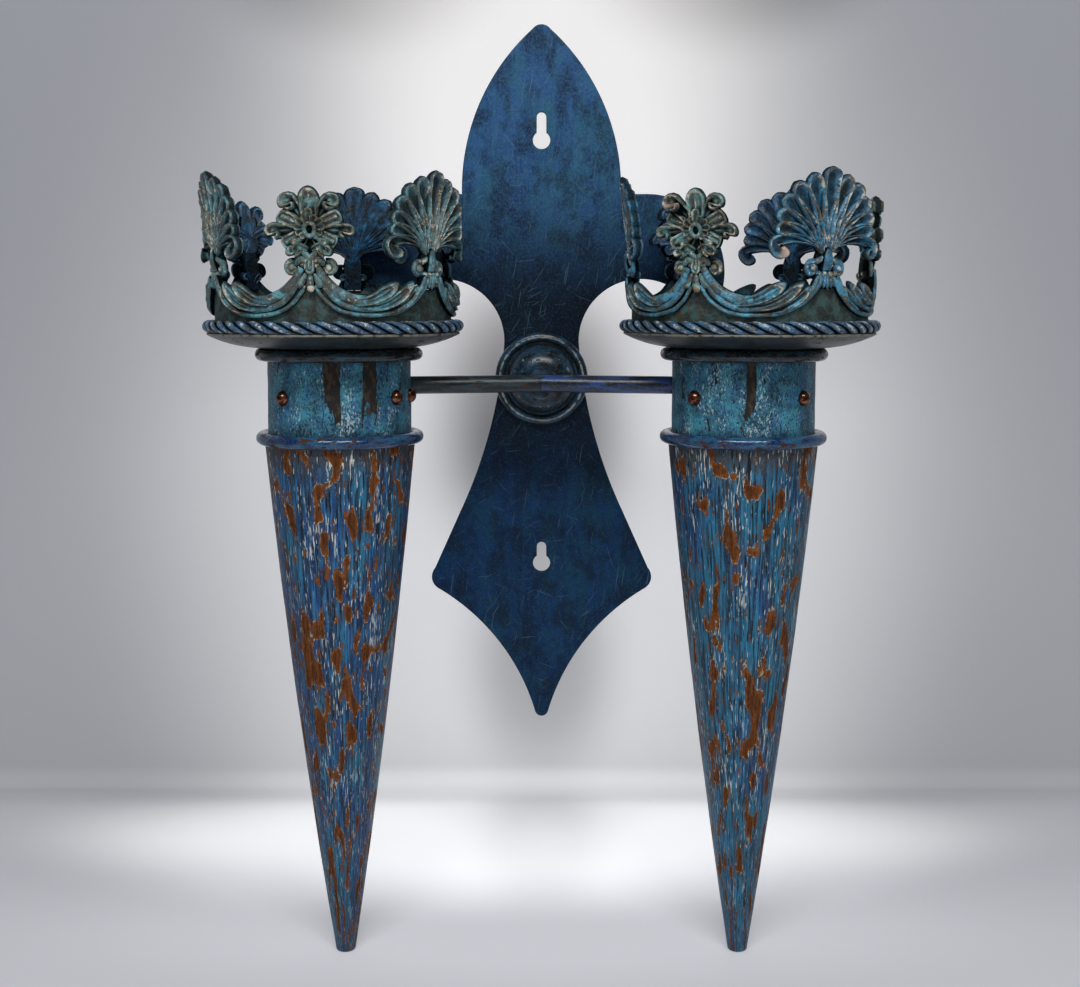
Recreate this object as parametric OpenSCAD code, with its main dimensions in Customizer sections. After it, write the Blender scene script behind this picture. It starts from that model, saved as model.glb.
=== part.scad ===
// Two-light wall candle holder: spear-shaped wall plate, turned boss, two bar arms
// and two cone torches, each with a drip pan and a crown of palmettes and swags.
// The origin is on the wall plane behind the boss axis. +Z is up and -Y leaves the wall.

/* [Wall plate] */
// Thickness of the plate
plate_t = 3; // [2:0.5:5]
// Height of the spear tip above the boss axis
plate_top = 191.5; // [180:0.5:200]
// Depth of the tail tip below the boss axis
plate_drop = 189.5; // [180:0.5:200]
// Rounding of the spear tip
spear_tip_r = 6; // [4:0.5:8]
// Rounding of the tail tip
tail_tip_r = 3.8; // [2:0.1:5]
// Half width of the spear head at the notch
head_half_w = 43.4; // [41:0.2:46]
// Bulge of the spear head's side over its chord
head_bulge = 10.6; // [8:0.2:13]
// Height of the flat top of the side crescents
crescent_top = 100.6; // [96:0.2:104]
// Radius of the outer edge of a side crescent
crescent_r = 42.6; // [40:0.2:45]
// Distance of a crescent's centre from the middle line
crescent_x = 57.6; // [55:0.2:60]
// Half width of the waist
waist_half_w = 20.4; // [20:0.2:23]
// Height of the narrowest place of the waist
waist_z = 20.4; // [16:0.2:24]
// Radius of the hollow edge from the waist into the crescent
arch_r = 34; // [30:0.5:36]
// Half width where the flank turns straight
flank_half_w = 45.1; // [42:0.1:48]
// Depth where the flank turns straight
flank_drop = 74.2; // [70:0.2:78]
// Hollow of the flank over its chord
flank_hollow = 4.5; // [3:0.1:7]
// Half width at the lower end of the straight flank
kite_half_w = 59.2; // [55:0.2:62]
// Depth at the lower end of the straight flank
kite_drop = 105.7; // [100:0.1:108]
// Bulge of the rounded kite corner over its chord
kite_bulge = 2.6; // [2:0.1:4]
// How far the kite corner steps in at its lower end
kite_step_in = 1.6; // [1:0.1:4]
// Height of the rounded kite corner
kite_corner_h = 11.2; // [9:0.2:15]
// Hollow of the tail's edge over its chord
tail_hollow = 8.4; // [7:0.2:11]
// Radius of the round part of a keyhole
keyhole_r = 4.75; // [4:0.05:6]
// Width of a keyhole's slot
keyhole_slot_w = 5.2; // [4:0.1:6]
// Height of the upper keyhole's round part above the boss axis
upper_keyhole_z = 129.6; // [110:0.2:140]
// Rise of the upper keyhole's slot above its round part
upper_keyhole_rise = 12.4; // [9:0.2:15]
// Depth of the lower keyhole's round part below the boss axis
lower_keyhole_drop = 102.8; // [95:0.2:115]
// Rise of the lower keyhole's slot above its round part
lower_keyhole_rise = 9.2; // [8:0.2:13]

/* [Boss and hub] */
// Outer radius of the boss's bead ring
boss_r = 25.4; // [24:0.2:28]
// Radius of the bead ring's round section
boss_bead_r = 2.6; // [2:0.1:3]
// Radius of the boss's dome
dome_r = 18.6; // [17:0.2:20]
// Height of the dome in front of the plate
dome_h = 16; // [14:0.5:20]
// Bulge of the dome's side over its chord
dome_bulge = 3; // [2:0.2:3.6]
// Height of the channel's floor between bead ring and dome
channel_h = 1.6; // [1:0.1:2]
// Radius of the flat at the dome's front
dome_flat_r = 9.6; // [9:0.2:11]
// Radius of the hollow in the boss's back
boss_hollow_r = 11.5; // [11:0.2:12]
// Depth of the hollow in the boss's back
boss_hollow_h = 9; // [8:0.5:11]
// Distance of the boss screws from the boss axis
screw_offset = 15.4; // [15:0.1:16]
// Radius of a boss screw's shank
screw_r = 2; // [1.5:0.1:2.2]
// Radius of a boss screw's countersunk head
screw_head_r = 4; // [3:0.1:4.2]
// Depth that a boss screw reaches into the boss
screw_grip = 5.6; // [4:0.2:6]
// Radius of the stem's body
stem_r = 6; // [5:0.2:7]
// Radius of the threaded spigot of the stem
spigot_r = 4; // [3:0.2:4.4]
// Radius of the stem's front collar
hub_collar_r = 8.5; // [8:0.1:10]
// Thickness of the stem's front collar
hub_collar_t = 5; // [4:0.5:6]
// Width across the flats of the hub nut
nut_af = 13; // [11:0.5:15]
// Thickness of the hub nut
nut_t = 5; // [4:0.5:6]

/* [Arms] */
// Distance from the wall to the place where the arms meet
hub_out = 50; // [46:0.5:56]
// Distance from the wall to the torch axes
torch_out = 72; // [70:0.5:80]
// Distance of a torch axis from the middle
torch_x = 101; // [96:0.5:110]
// Radius of the round arms
arm_r = 4.5; // [4:0.1:5]
// Distance from the torch axis at which an arm ends inside the wood
arm_end = 20; // [14:0.5:26]

/* [Torches] */
// Outer radius of the collar
collar_r = 35.6; // [34:0.2:37]
// Wall of the collar
collar_wall = 1.2; // [0.8:0.1:1.6]
// Height of the collar's top edge above the boss axis
collar_top = 19.4; // [18.8:0.2:22]
// Height of the upper bead's middle above the boss axis
upper_bead_z = 16.2; // [14.8:0.2:16.2]
// Depth of the lower bead's middle below the boss axis
lower_bead_drop = 25.3; // [24:0.2:28]
// Radius of the beads' round section
bead_r = 3.1; // [2.6:0.1:3.1]
// Distance by which the beads stand out from the collar
bead_reach = 6; // [5.4:0.1:6.2]
// Radius of the cone's upper end
cone_top_r = 37.2; // [36.6:0.2:38]
// Radius of the cone's tip
cone_tip_r = 5; // [4:0.1:6]
// Radius of the flat under the cone's tip
tip_flat_r = 4; // [3:0.1:4.6]
// Depth of the cone's tip below the boss axis
cone_tip_drop = 291; // [270:1:310]
// Bulge of the cone's side over its chord
cone_bulge = 1.9; // [1:0.1:3]
// Radius of a nail's dome
nail_r = 3.8; // [2.5:0.1:4.5]
// Height of a nail's dome
nail_h = 3.2; // [2:0.1:4]
// Radius of a nail's shank
nail_shank_r = 1.1; // [0.8:0.05:1.3]
// Depth that a nail reaches into the wood
nail_grip = 8; // [5:0.5:10]
// Depth of the nail row below the boss axis
nail_drop = 4.4; // [3:0.2:6]

/* [Drip pan] */
// Distance of the crown axis outward from the torch axis
crown_shift = 2.3; // [0:0.1:3]
// Outer radius of the pan
pan_r = 62.4; // [61:0.2:65]
// Radius of the flat in the middle of the pan
pan_flat_r = 37; // [36:0.2:38]
// Rise of the pan's rim above its middle
pan_rise = 6.5; // [5:0.5:8]
// Sheet thickness of the pan
pan_t = 1.2; // [0.8:0.1:1.6]
// Hollow of the pan's underside over its chord
pan_bulge = 1.4; // [0.5:0.1:2]
// Radius of the rope moulding's section
rope_r = 3; // [2.6:0.1:3.1]
// Distance by which the rope moulding stands out past the pan's edge
rope_overhang = 2; // [1:0.1:2.5]
// Radius of the pricket's flange
flange_r = 17; // [14:0.5:20]
// Thickness of the pricket's flange
flange_t = 2; // [1.5:0.1:2.5]
// Radius of the candle spike
spike_r = 2.2; // [1.8:0.1:2.6]
// Length of the spike's straight part
spike_h = 8; // [6:0.5:9]
// Length of the spike's point
spike_point_h = 9; // [7:0.5:10]
// Radius of the blunted point
spike_tip_r = 0.4; // [0.3:0.1:0.6]
// Radius of the pricket's shank
shank_r = 4; // [3:0.1:4.5]
// Depth that the shank reaches into the wood
shank_grip = 16; // [10:1:20]

/* [Crown] */
// Gap between the gallery band and the rope moulding
band_gap = 0.2; // [0.1:0.1:1]
// Thickness of the gallery band
band_t = 1.5; // [1:0.1:2]
// Height of the gallery band's peaks above the boss axis
band_peak_z = 48; // [46:0.2:50]
// Height of the gallery band's troughs above the boss axis
band_trough_z = 41; // [38:0.2:43]
// Radius of the scallops in the gallery band
scallop_r = 38; // [34:1:42]
// Outward lean of the palmettes
palmette_lean = 5; // [2:0.5:12]
// Radius that the palmettes are bent to from side to side
palmette_bend_r = 110; // [60:5:200]
// Height of the husk and volutes under a palmette's fan
husk_h = 14.5; // [12:0.5:17]
// Radius of a volute
volute_r = 3.6; // [3:0.1:4.2]
// Half distance between a pair of volutes
volute_x = 7; // [6:0.2:8]
// Count of the ribs in a shell palmette
shell_ribs = 11; // [9:2:15]
// Length of a shell's middle rib
shell_rib_long = 42.5; // [38:0.5:46]
// Length of a shell's lowest ribs
shell_rib_short = 22; // [18:0.5:26]
// Power with which the ribs get shorter toward the sides
shell_rib_fall = 1.5; // [1:0.1:2.5]
// Half angle of a shell's fan
shell_fan = 95; // [85:1:110]
// Count of the petals round a flower's eye
flower_petals = 9; // [7:1:11]
// Height of a flower's eye above its fan's base
flower_eye_h = 12.2; // [10:0.2:14]
// Length of a flower's petals to their tips
petal_long = 19.5; // [17:0.5:22]
// Turn of the left crown, from the front
left_crown_turn = -62; // [-90:1:90]
// Turn of the right crown, from the front
right_crown_turn = 28; // [-90:1:90]
// Half height of a swag at its middle
swag_half_h = 3.6; // [3:0.1:4.2]
// Depth of a swag's relief
swag_depth = 3.6; // [2.5:0.1:4.4]
// Height of a swag's top over the band's trough
swag_over = 2; // [1:0.2:3]
// Share of a swag's height that it loses toward its ends
swag_taper = 0.35; // [0:0.05:0.6]
// Angle that a swag's end keeps from the middle of a palmette's foot
swag_margin_a = 1.5; // [0.5:0.5:4]

/* [Hidden] */
$fn = 64;
// Gap of parts that are soldered, screwed or nailed together
seat_gap = 0.05;
// Gap round an arm in the collar and the wood
arm_gap = 0.12;
// Depth of blind holes past the part in them, and of through cuts past a face
hole_spare = 1;
// Width of the flat seat on the pan inside the band
seat_land = 2;
// Depth of a boss screw's head under the plate's back
screw_recess = 0.4;
// Angles of each collar's nails from the front, toward the arm: left collar, right collar
nail_angles = [[-42, 58, 84, 140, -140], [-46, 49, 128, 180, -128]];
// Count of the shells, and of the flowers, in a crown
crown_parts = 3;
sector = 360 / crown_parts;
left = -1;
right = 1;

// Heights and radii that follow from the sizes above
arm_dir = [torch_x, hub_out - torch_out];
arm_len = norm(arm_dir);
arm_turn = atan2(torch_out - hub_out, torch_x);
cone_top_z = -lower_bead_drop - bead_r - seat_gap;
wood_r = collar_r - collar_wall - arm_gap;
pan_z = collar_top + seat_gap;
pan_top_z = pan_z + pan_t;
pan_seat_z = pan_z + pan_rise + pan_t;
rope_ring_r = pan_r + rope_overhang - rope_r;
band_r = rope_ring_r - rope_r - band_gap;
band_seat_r = band_r - band_t - seat_land;
rope_z = pan_seat_z + rope_r + seat_gap;
palmette_r = band_r - band_t / 2;
palmette_z = band_peak_z + seat_gap;
fan_z = palmette_z + husk_h;
swag_r = band_r + seat_gap;
swag_z = band_trough_z - swag_half_h + swag_over;
swag_end_z = band_peak_z - swag_half_h * (1 - swag_taper);

// Points of an arc about a centre, from one angle to another
function arc(c, r, a0, a1, n) = [for (i = [0:n]) let (a = a0 + (a1 - a0) * i / n) c + r * [cos(a), sin(a)]];

// Points of an arc from p to q that stands out by bulge to the left of the way
function bow(p, q, bulge, n) =
    let (half = norm(q - p) / 2, r = (half * half + bulge * bulge) / (2 * abs(bulge)), s = sign(bulge))
    let (along = (q - p) / (2 * half), left_of = [-along[1], along[0]])
    let (c = (p + q) / 2 + left_of * (bulge - s * r), turn = asin(min(1, half / r)))
    [for (i = [0:n]) let (a = turn * (2 * i / n - 1)) c + r * (along * sin(a) + s * left_of * cos(a))];

// Right-hand meeting point of two circles
function meeting(c0, r0, c1, r1) =
    let (d = norm(c1 - c0), u = (c1 - c0) / d, a = (d * d + r0 * r0 - r1 * r1) / (2 * d))
    c0 + a * u + sqrt(max(0, r0 * r0 - a * a)) * [u[1], -u[0]];

function angle_of(v) = atan2(v[1], v[0]);
function end_of(pts) = pts[len(pts) - 1];
function mirrored(pts) = [for (i = [len(pts) - 1:-1:0]) [-pts[i][0], pts[i][1]]];

// Angles and bulge that round the tips of the plate's outline
spear_blunt_a = 38;
tail_blunt_a = 18;
horn_blunt_a = 3;
horn_bulge = 1;

// Radii and place of the lobes in a palmette's foot
husk_r = 2.6;
stalk_r = 2.2;
leaf_r = 1.8;
leaf_x = 4;
eye_r = 2.6;

// Sheet of a palmette: half thickness, height of its ribs and reach of its closed underside.
// Each ring has its shares of the reach, of the rib's height and of the half thickness.
sheet_half_t = 1.3;
rib_h = 2.2;
fan_close_r = 4;
sheet_rings = [[0.3, 0.7, 0.9], [0.75, 1, 0.45], [1, 0, 0.6], [1, 0, -0.6], [0.6, 0, -0.75]];

// Shares of the reach and of the height across one rib: valley, shoulder, crest, shoulder
rib_reach = [0.86, 0.96, 1, 0.96];
rib_relief = [0.15, 0.7, 1, 0.7];

// Right half of the plate's outline, from the spear tip down to the tail tip
notch = [head_half_w, crescent_top];
crescent_c = [crescent_x, crescent_top - crescent_r];
arch_c = [waist_half_w + arch_r, waist_z];
horn = meeting(arch_c, arch_r, crescent_c, crescent_r);
horn_out_a = angle_of(horn - crescent_c) + horn_blunt_a;
horn_in_a = angle_of(horn - arch_c) + horn_blunt_a;
spear_arc = arc([0, plate_top - spear_tip_r], spear_tip_r, 90, spear_blunt_a, 6);
crescent_arc = arc(crescent_c, crescent_r, 90, horn_out_a, 24);
arch_arc = arc(arch_c, arch_r, horn_in_a, 180, 24);
tail_arc = arc([0, tail_tip_r - plate_drop], tail_tip_r, -tail_blunt_a, -90, 5);
kite_low = [kite_half_w - kite_step_in, -kite_drop - kite_corner_h];
plate_half = concat(
    spear_arc,
    bow(end_of(spear_arc), notch, head_bulge, 16),
    crescent_arc,
    bow(end_of(crescent_arc), arch_arc[0], horn_bulge, 4),
    arch_arc,
    bow(end_of(arch_arc), [flank_half_w, -flank_drop], -flank_hollow, 12),
    bow([kite_half_w, -kite_drop], kite_low, kite_bulge, 8),
    bow(kite_low, tail_arc[0], -tail_hollow, 16),
    tail_arc);
plate_outline = concat(plate_half, mirrored(plate_half));

// Turns a shape drawn along +Z so that it runs along -Y, away from the wall
module from_wall(y) {
    translate([0, -y, 0]) rotate([90, 0, 0]) children();
}

// Places of one side's torch and crown
module at_torch(side) {
    translate([side * torch_x, -torch_out, 0]) children();
}

module at_crown(side) {
    translate([side * (torch_x + crown_shift), -torch_out, 0]) children();
}

// Places a piece that is drawn at the front of the crown in sector i
module in_sector(side, i, half_step = 0) {
    turn = side == left ? left_crown_turn : right_crown_turn;
    at_crown(side) rotate([0, 0, turn + sector * (i + half_step / 2)]) children();
}

// Rod along one arm's axis, measured from the hub
module arm_rod(side, r, from, to) {
    translate([0, -hub_out, 0]) rotate([0, 0, -side * arm_turn]) rotate([0, side * 90, 0])
        translate([0, 0, from]) cylinder(h = to - from, r = r);
}

module keyhole(rise) {
    cylinder(h = 3 * plate_t, r = keyhole_r, center = true);
    translate([-keyhole_slot_w / 2, 0, -1.5 * plate_t]) cube([keyhole_slot_w, rise, 3 * plate_t]);
    translate([0, rise, 0]) cylinder(h = 3 * plate_t, r = keyhole_slot_w / 2, center = true);
}

module screw_places() {
    for (z = [-screw_offset, screw_offset]) translate([0, 0, z]) children();
}

// Plate cut from sheet, with two keyholes, the spigot hole and two countersunk screw holes
module wall_plate() {
    color("midnightblue") difference() {
        from_wall(0) linear_extrude(height = plate_t) polygon(plate_outline);
        from_wall(0) translate([0, upper_keyhole_z, 0]) keyhole(upper_keyhole_rise);
        from_wall(0) translate([0, -lower_keyhole_drop, 0]) keyhole(lower_keyhole_rise);
        screw_places() boss_screw(seat_gap);
    }
}

// One countersunk screw from the plate's back into the boss, grown by a gap for its hole
module boss_screw(gap) {
    head_h = screw_head_r - screw_r;
    from_wall(screw_recess) cylinder(h = head_h, r1 = screw_head_r + gap, r2 = screw_r + gap);
    from_wall(screw_recess) cylinder(h = plate_t - screw_recess + screw_grip + gap, r = screw_r + gap);
    if (gap > 0) from_wall(-plate_t) cylinder(h = plate_t + screw_recess, r = screw_head_r + gap);
}

module boss_screws() {
    color("dimgray") screw_places() boss_screw(0);
}

// Turned boss: bead ring, deep channel and dome, hollow behind for the hub nut
module plate_boss() {
    bead_c = [boss_r - boss_bead_r, boss_bead_r];
    dome_side = bow([dome_r, boss_bead_r], [dome_flat_r, dome_h], -dome_bulge, 10);
    section = concat(
        [[0, 0], [boss_r, 0], [boss_r, boss_bead_r]],
        arc(bead_c, boss_bead_r, 0, 180, 12),
        [[bead_c[0] - boss_bead_r, channel_h], [dome_r, channel_h]],
        dome_side,
        [[0, dome_h]]);
    color("darkslategray") difference() {
        from_wall(plate_t) rotate_extrude() polygon(section);
        from_wall(0) cylinder(h = plate_t + boss_hollow_h, r = boss_hollow_r);
        from_wall(0) cylinder(h = hub_out, r = spigot_r + seat_gap);
        screw_places() boss_screw(seat_gap);
    }
}

// Turned stem with a threaded spigot behind and a saddle in front for both arms
module arm_hub() {
    stem_y = plate_t + dome_h + seat_gap;
    spigot_y = plate_t + boss_hollow_h - nut_t - hole_spare;
    collar_y = hub_out - hub_collar_t;
    round_r = hub_collar_t / 4;
    color("darkslategray") difference() {
        union() {
            from_wall(spigot_y) cylinder(h = stem_y - spigot_y + stem_r, r = spigot_r);
            from_wall(stem_y) cylinder(h = hub_out - stem_y, r = stem_r);
            from_wall(collar_y) cylinder(h = hub_collar_t - round_r, r = hub_collar_r);
            from_wall(hub_out - round_r)
                cylinder(h = round_r, r1 = hub_collar_r, r2 = hub_collar_r - round_r);
        }
        arm_rod(left, arm_r + seat_gap, -arm_r, arm_len);
        arm_rod(right, arm_r + seat_gap, -arm_r, arm_len);
    }
}

// Hex nut on the spigot, inside the hollow boss
module hub_nut() {
    nut_y = plate_t + boss_hollow_h - nut_t - seat_gap;
    color("dimgray") difference() {
        from_wall(nut_y) cylinder(h = nut_t, r = nut_af / sqrt(3), $fn = 6);
        from_wall(0) cylinder(h = hub_out, r = spigot_r + seat_gap);
    }
}

// Round bar from the mitre at the hub into the torch's wood
module arm(side) {
    color("darkslateblue") difference() {
        arm_rod(side, arm_r, -arm_r, arm_len - arm_end);
        translate([side * -hub_out, -hub_out, 0])
            cube([2 * hub_out + seat_gap, 4 * arm_r + hub_out, 4 * arm_r], center = true);
    }
}

// Hole that one arm takes in the torch
module arm_hole(side) {
    arm_rod(side, arm_r + arm_gap, arm_len / 2, arm_len - arm_end + hole_spare);
}

module nail_places(side) {
    for (a = nail_angles[side == left ? 0 : 1])
        at_torch(side) rotate([0, 0, -side * a]) translate([0, -collar_r, -nail_drop]) children();
}

// Turned wooden cone with a tenon for the collar
module torch_body(side) {
    tip_edge = [cone_tip_r, cone_tip_r - tip_flat_r - cone_tip_drop];
    flank = bow(tip_edge, [cone_top_r, cone_top_z], -cone_bulge, 14);
    section = concat(
        [[0, -cone_tip_drop], [tip_flat_r, -cone_tip_drop]],
        flank,
        [[wood_r, cone_top_z], [wood_r, collar_top], [0, collar_top]]);
    color("steelblue") difference() {
        at_torch(side) rotate_extrude() polygon(section);
        arm_hole(side);
        nail_places(side) nail_shank(seat_gap);
        at_crown(side) translate([0, 0, collar_top - shank_grip - hole_spare])
            cylinder(h = shank_grip + 2 * hole_spare, r = shank_r + seat_gap);
    }
}

// Sheet collar round the tenon, with holes for its nails and the arm
module collar_band(side) {
    color("cadetblue") difference() {
        at_torch(side) translate([0, 0, cone_top_z + seat_gap]) difference() {
            cylinder(h = collar_top - cone_top_z - seat_gap, r = collar_r);
            translate([0, 0, -hole_spare])
                cylinder(h = collar_top - cone_top_z + 2 * hole_spare, r = collar_r - collar_wall);
        }
        arm_hole(side);
        nail_places(side) nail_shank(seat_gap);
    }
}

// Bead ring with a flat inner face against the collar
module bead(side, z) {
    ring_r = collar_r + bead_reach - bead_r;
    color("slategray") at_torch(side) translate([0, 0, z]) rotate_extrude() difference() {
        translate([ring_r, 0]) circle(r = bead_r);
        translate([0, -2 * bead_r]) square([collar_r + seat_gap, 4 * bead_r]);
    }
}

// Nail shank, grown by a gap for its hole
module nail_shank(gap) {
    rotate([-90, 0, 0]) translate([0, 0, -gap])
        cylinder(h = collar_wall + nail_grip + 2 * gap, r = nail_shank_r + gap);
}

// Five domed nails that hold the collar to the wood
module collar_nails(side) {
    cap_r = (nail_r * nail_r + nail_h * nail_h) / (2 * nail_h);
    color("peru") nail_places(side) difference() {
        union() {
            rotate([90, 0, 0]) intersection() {
                translate([0, 0, nail_h - cap_r]) sphere(r = cap_r);
                translate([0, 0, -collar_wall]) cylinder(h = nail_h + collar_wall, r = nail_r);
            }
            nail_shank(0);
        }
        translate([0, collar_r, 0]) difference() {
            cylinder(h = 4 * nail_r, r = collar_r + seat_gap, center = true);
            rotate([90, 0, 0]) cylinder(h = 2 * collar_r, r = nail_shank_r);
        }
    }
}

// Shallow sheet pan with a flat seat at its rim for the band and the rope moulding
module drip_pan(side) {
    under = bow([pan_flat_r, 0], [pan_r, pan_rise], -pan_bulge, 8);
    over = bow([band_seat_r, pan_rise + pan_t], [pan_flat_r, pan_t], pan_bulge, 8);
    section = concat([[0, 0]], under, [[pan_r, pan_rise + pan_t]], over, [[0, pan_t]]);
    color("darkslategray") at_crown(side) translate([0, 0, pan_z]) difference() {
        rotate_extrude() polygon(section);
        translate([0, 0, -hole_spare]) cylinder(h = pan_t + 2 * hole_spare, r = shank_r + seat_gap);
    }
}

// Rope moulding along the pan's edge
module rope_rim(side) {
    color("royalblue") at_crown(side) translate([0, 0, rope_z])
        rotate_extrude() translate([rope_ring_r, 0]) circle(r = rope_r);
}

// Round cut through the band's wall, down to a trough
module scallop() {
    reach = 10;
    intersection() {
        translate([0, reach - band_r, band_trough_z + scallop_r])
            rotate([90, 0, 0]) cylinder(h = 2 * reach, r = scallop_r);
        translate([-scallop_r, -band_r - reach, 0])
            cube([2 * scallop_r, 2 * reach, band_peak_z + hole_spare]);
    }
}

// Low wall of the crown, scalloped between the palmettes
module gallery_band(side) {
    band_z = pan_seat_z + seat_gap;
    color("teal") difference() {
        at_crown(side) translate([0, 0, band_z]) difference() {
            cylinder(h = band_peak_z - band_z, r = band_r);
            translate([0, 0, -hole_spare])
                cylinder(h = band_peak_z - band_z + 2 * hole_spare, r = band_r - band_t);
        }
        for (i = [0:crown_parts - 1], half = [0.5, 1.5]) in_sector(side, i, half) scallop();
    }
}

// Candle pricket: flange on the pan, spike above it and shank down into the wood
module candle_pricket(side) {
    flange_z = pan_top_z + seat_gap;
    color("dimgray") at_crown(side) {
        translate([0, 0, flange_z]) cylinder(h = flange_t, r = flange_r);
        translate([0, 0, flange_z]) cylinder(h = flange_t + spike_h, r = spike_r);
        translate([0, 0, flange_z + flange_t + spike_h])
            cylinder(h = spike_point_h, r1 = spike_r, r2 = spike_tip_r);
        translate([0, 0, collar_top - shank_grip])
            cylinder(h = flange_z - collar_top + shank_grip + flange_t / 2, r = shank_r);
    }
}

// Place at a radius, an angle from the front and a height about the crown's axis
function around(r, a, z) = [r * sin(a), -r * cos(a), z];

// Place on the leaning sheet of a palmette: x across, z up from the fan's base, out along the radius
function on_sheet(x, z, out = 0) =
    let (a = x / palmette_bend_r * 180 / PI, bend_y = palmette_bend_r - palmette_r - z * tan(palmette_lean))
    [0, bend_y, 0] + around(palmette_bend_r + out, a, fan_z + z);

// Tapered lobe on the sheet, from one place and radius to another
module lobe(from, from_r, to, to_r) {
    hull() {
        translate(on_sheet(from[0], from[1])) sphere(r = from_r, $fn = 8);
        translate(on_sheet(to[0], to[1])) sphere(r = to_r, $fn = 8);
    }
}

// Husk of three leaves, a pair of volutes and a stalk that carry a palmette on a peak of the band
module palmette_foot() {
    difference() {
        union() {
            lobe([0, -husk_h], husk_r, [0, 0], stalk_r);
            lobe([0, 0], stalk_r, [0, flower_eye_h], leaf_r);
            for (s = [-1, 1]) {
                lobe([s * leaf_x, -husk_h], leaf_r, [s * volute_x, -husk_h / 2], stalk_r);
                lobe([s * volute_x, -volute_r], volute_r, [s * leaf_x, -volute_r], husk_r);
                lobe([s * volute_x, -volute_r], leaf_r, [0, 0], leaf_r);
            }
        }
        translate([-band_r, -2 * band_r, palmette_z - 2 * band_r]) cube(2 * band_r);
    }
}

// Cast fan or flower head: a lobed sheet about a centre, ribbed in front and dished behind.
// Each entry of rim is an angle from the upright, a reach and a share of the ribs' height.
module lobed_sheet(centre_z, rim) {
    n = len(rim);
    last = len(sheet_rings) - 1;
    points = concat(
        [on_sheet(0, centre_z, sheet_half_t)],
        [for (ring = sheet_rings, p = rim) let (reach = ring[0] * p[1])
            on_sheet(reach * sin(p[0]), centre_z + reach * cos(p[0]),
                ring[1] * p[2] * rib_h + ring[2] * sheet_half_t)],
        [on_sheet(0, centre_z, -sheet_half_t)]);
    front = [for (j = [0:n - 1]) [0, 1 + j, 1 + (j + 1) % n]];
    walls = [for (i = [0:last - 1], j = [0:n - 1]) let (a = 1 + i * n + j, b = 1 + i * n + (j + 1) % n)
        each [[a, b + n, b], [a, a + n, b + n]]];
    back = [for (j = [0:n - 1]) [1 + last * n + (j + 1) % n, 1 + last * n + j, 1 + (last + 1) * n]];
    polyhedron(points = points, faces = concat(front, walls, back), convexity = 6);
}

// Length of a shell's rib, t from -1 to 1 across the fan
function rib_length(t) = shell_rib_long + (shell_rib_short - shell_rib_long) * pow(abs(t), shell_rib_fall);

// Shell palmette: a fan of ribs, long in the middle, that closes under its base
module shell(side, i) {
    n = 4 * shell_ribs;
    ribs = [for (j = [0:n]) let (t = 2 * j / n - 1)
        [t * shell_fan, rib_length(t) * rib_reach[j % 4], rib_relief[j % 4]]];
    under = [for (j = [1:4]) [shell_fan + (360 - 2 * shell_fan) * j / 5, fan_close_r, rib_relief[0]]];
    color("darkcyan") in_sector(side, i) {
        palmette_foot();
        lobed_sheet(0, concat(ribs, under));
    }
}

// Flower palmette: petals round an eye, on a stalk
module flower(side, i) {
    n = 4 * flower_petals;
    petals = [for (j = [0:n - 1]) [360 * (j + 2) / n, petal_long * rib_reach[j % 4], rib_relief[j % 4]]];
    color("darkcyan") in_sector(side, i, 1) {
        palmette_foot();
        lobed_sheet(flower_eye_h, petals);
        translate(on_sheet(0, flower_eye_h, sheet_half_t)) sphere(r = eye_r, $fn = 8);
    }
}

// Relief of a swag's section: three ridges across its height, v from -1 to 1
function ridge(v) = swag_depth * (0.6 + 0.3 * cos(270 * v) * (1 - abs(v) / 2)) * (1 - pow(abs(v), 6) / 2);

// Leaf swag that hangs on the band from one palmette's foot to the next
module swag(side, i) {
    n = 12;
    m = 8;
    reach = sector / 2 - 2 * swag_margin_a;
    rings = [for (k = [0:n]) let (u = 2 * k / n - 1, a = swag_margin_a + reach * (u + 1) / 2)
        let (mid = swag_z + (swag_end_z - swag_z) * u * u, half_h = swag_half_h * (1 - swag_taper * u * u))
        concat(
            [for (j = [0:m]) let (v = 2 * j / m - 1) around(swag_r + ridge(v), a, mid + half_h * v)],
            [around(swag_r, a, mid + half_h), around(swag_r, a, mid - half_h)])];
    w = m + 3;
    sides = [for (k = [0:n - 1], j = [0:w - 1]) let (j2 = (j + 1) % w)
        [k * w + j, k * w + j2, (k + 1) * w + j2, (k + 1) * w + j]];
    tris = [for (f = sides, t = [[f[0], f[1], f[2]], [f[0], f[2], f[3]]]) t];
    first_cap = [for (j = [w - 1:-1:0]) j];
    last_cap = [for (j = [0:w - 1]) n * w + j];
    points = [for (ring = rings, p = ring) p];
    color("darkcyan") in_sector(side, i / 2)
        polyhedron(points = points, faces = concat(tris, [first_cap, last_cap]), convexity = 4);
}

wall_plate();
plate_boss();
boss_screws();
arm_hub();
hub_nut();
arm(left);  // left_arm
arm(right);  // right_arm
torch_body(left);  // left_torch_body
torch_body(right);  // right_torch_body
collar_band(left);  // left_collar_band
collar_band(right);  // right_collar_band
bead(left, upper_bead_z);  // left_upper_bead
bead(right, upper_bead_z);  // right_upper_bead
bead(left, -lower_bead_drop);  // left_lower_bead
bead(right, -lower_bead_drop);  // right_lower_bead
collar_nails(left);  // left_collar_nails
collar_nails(right);  // right_collar_nails
drip_pan(left);  // left_drip_pan
drip_pan(right);  // right_drip_pan
rope_rim(left);  // left_rope_rim
rope_rim(right);  // right_rope_rim
gallery_band(left);  // left_gallery_band
gallery_band(right);  // right_gallery_band
candle_pricket(left);  // left_candle_pricket
candle_pricket(right);  // right_candle_pricket
shell(left, 0);  // left_shell_1
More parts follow.
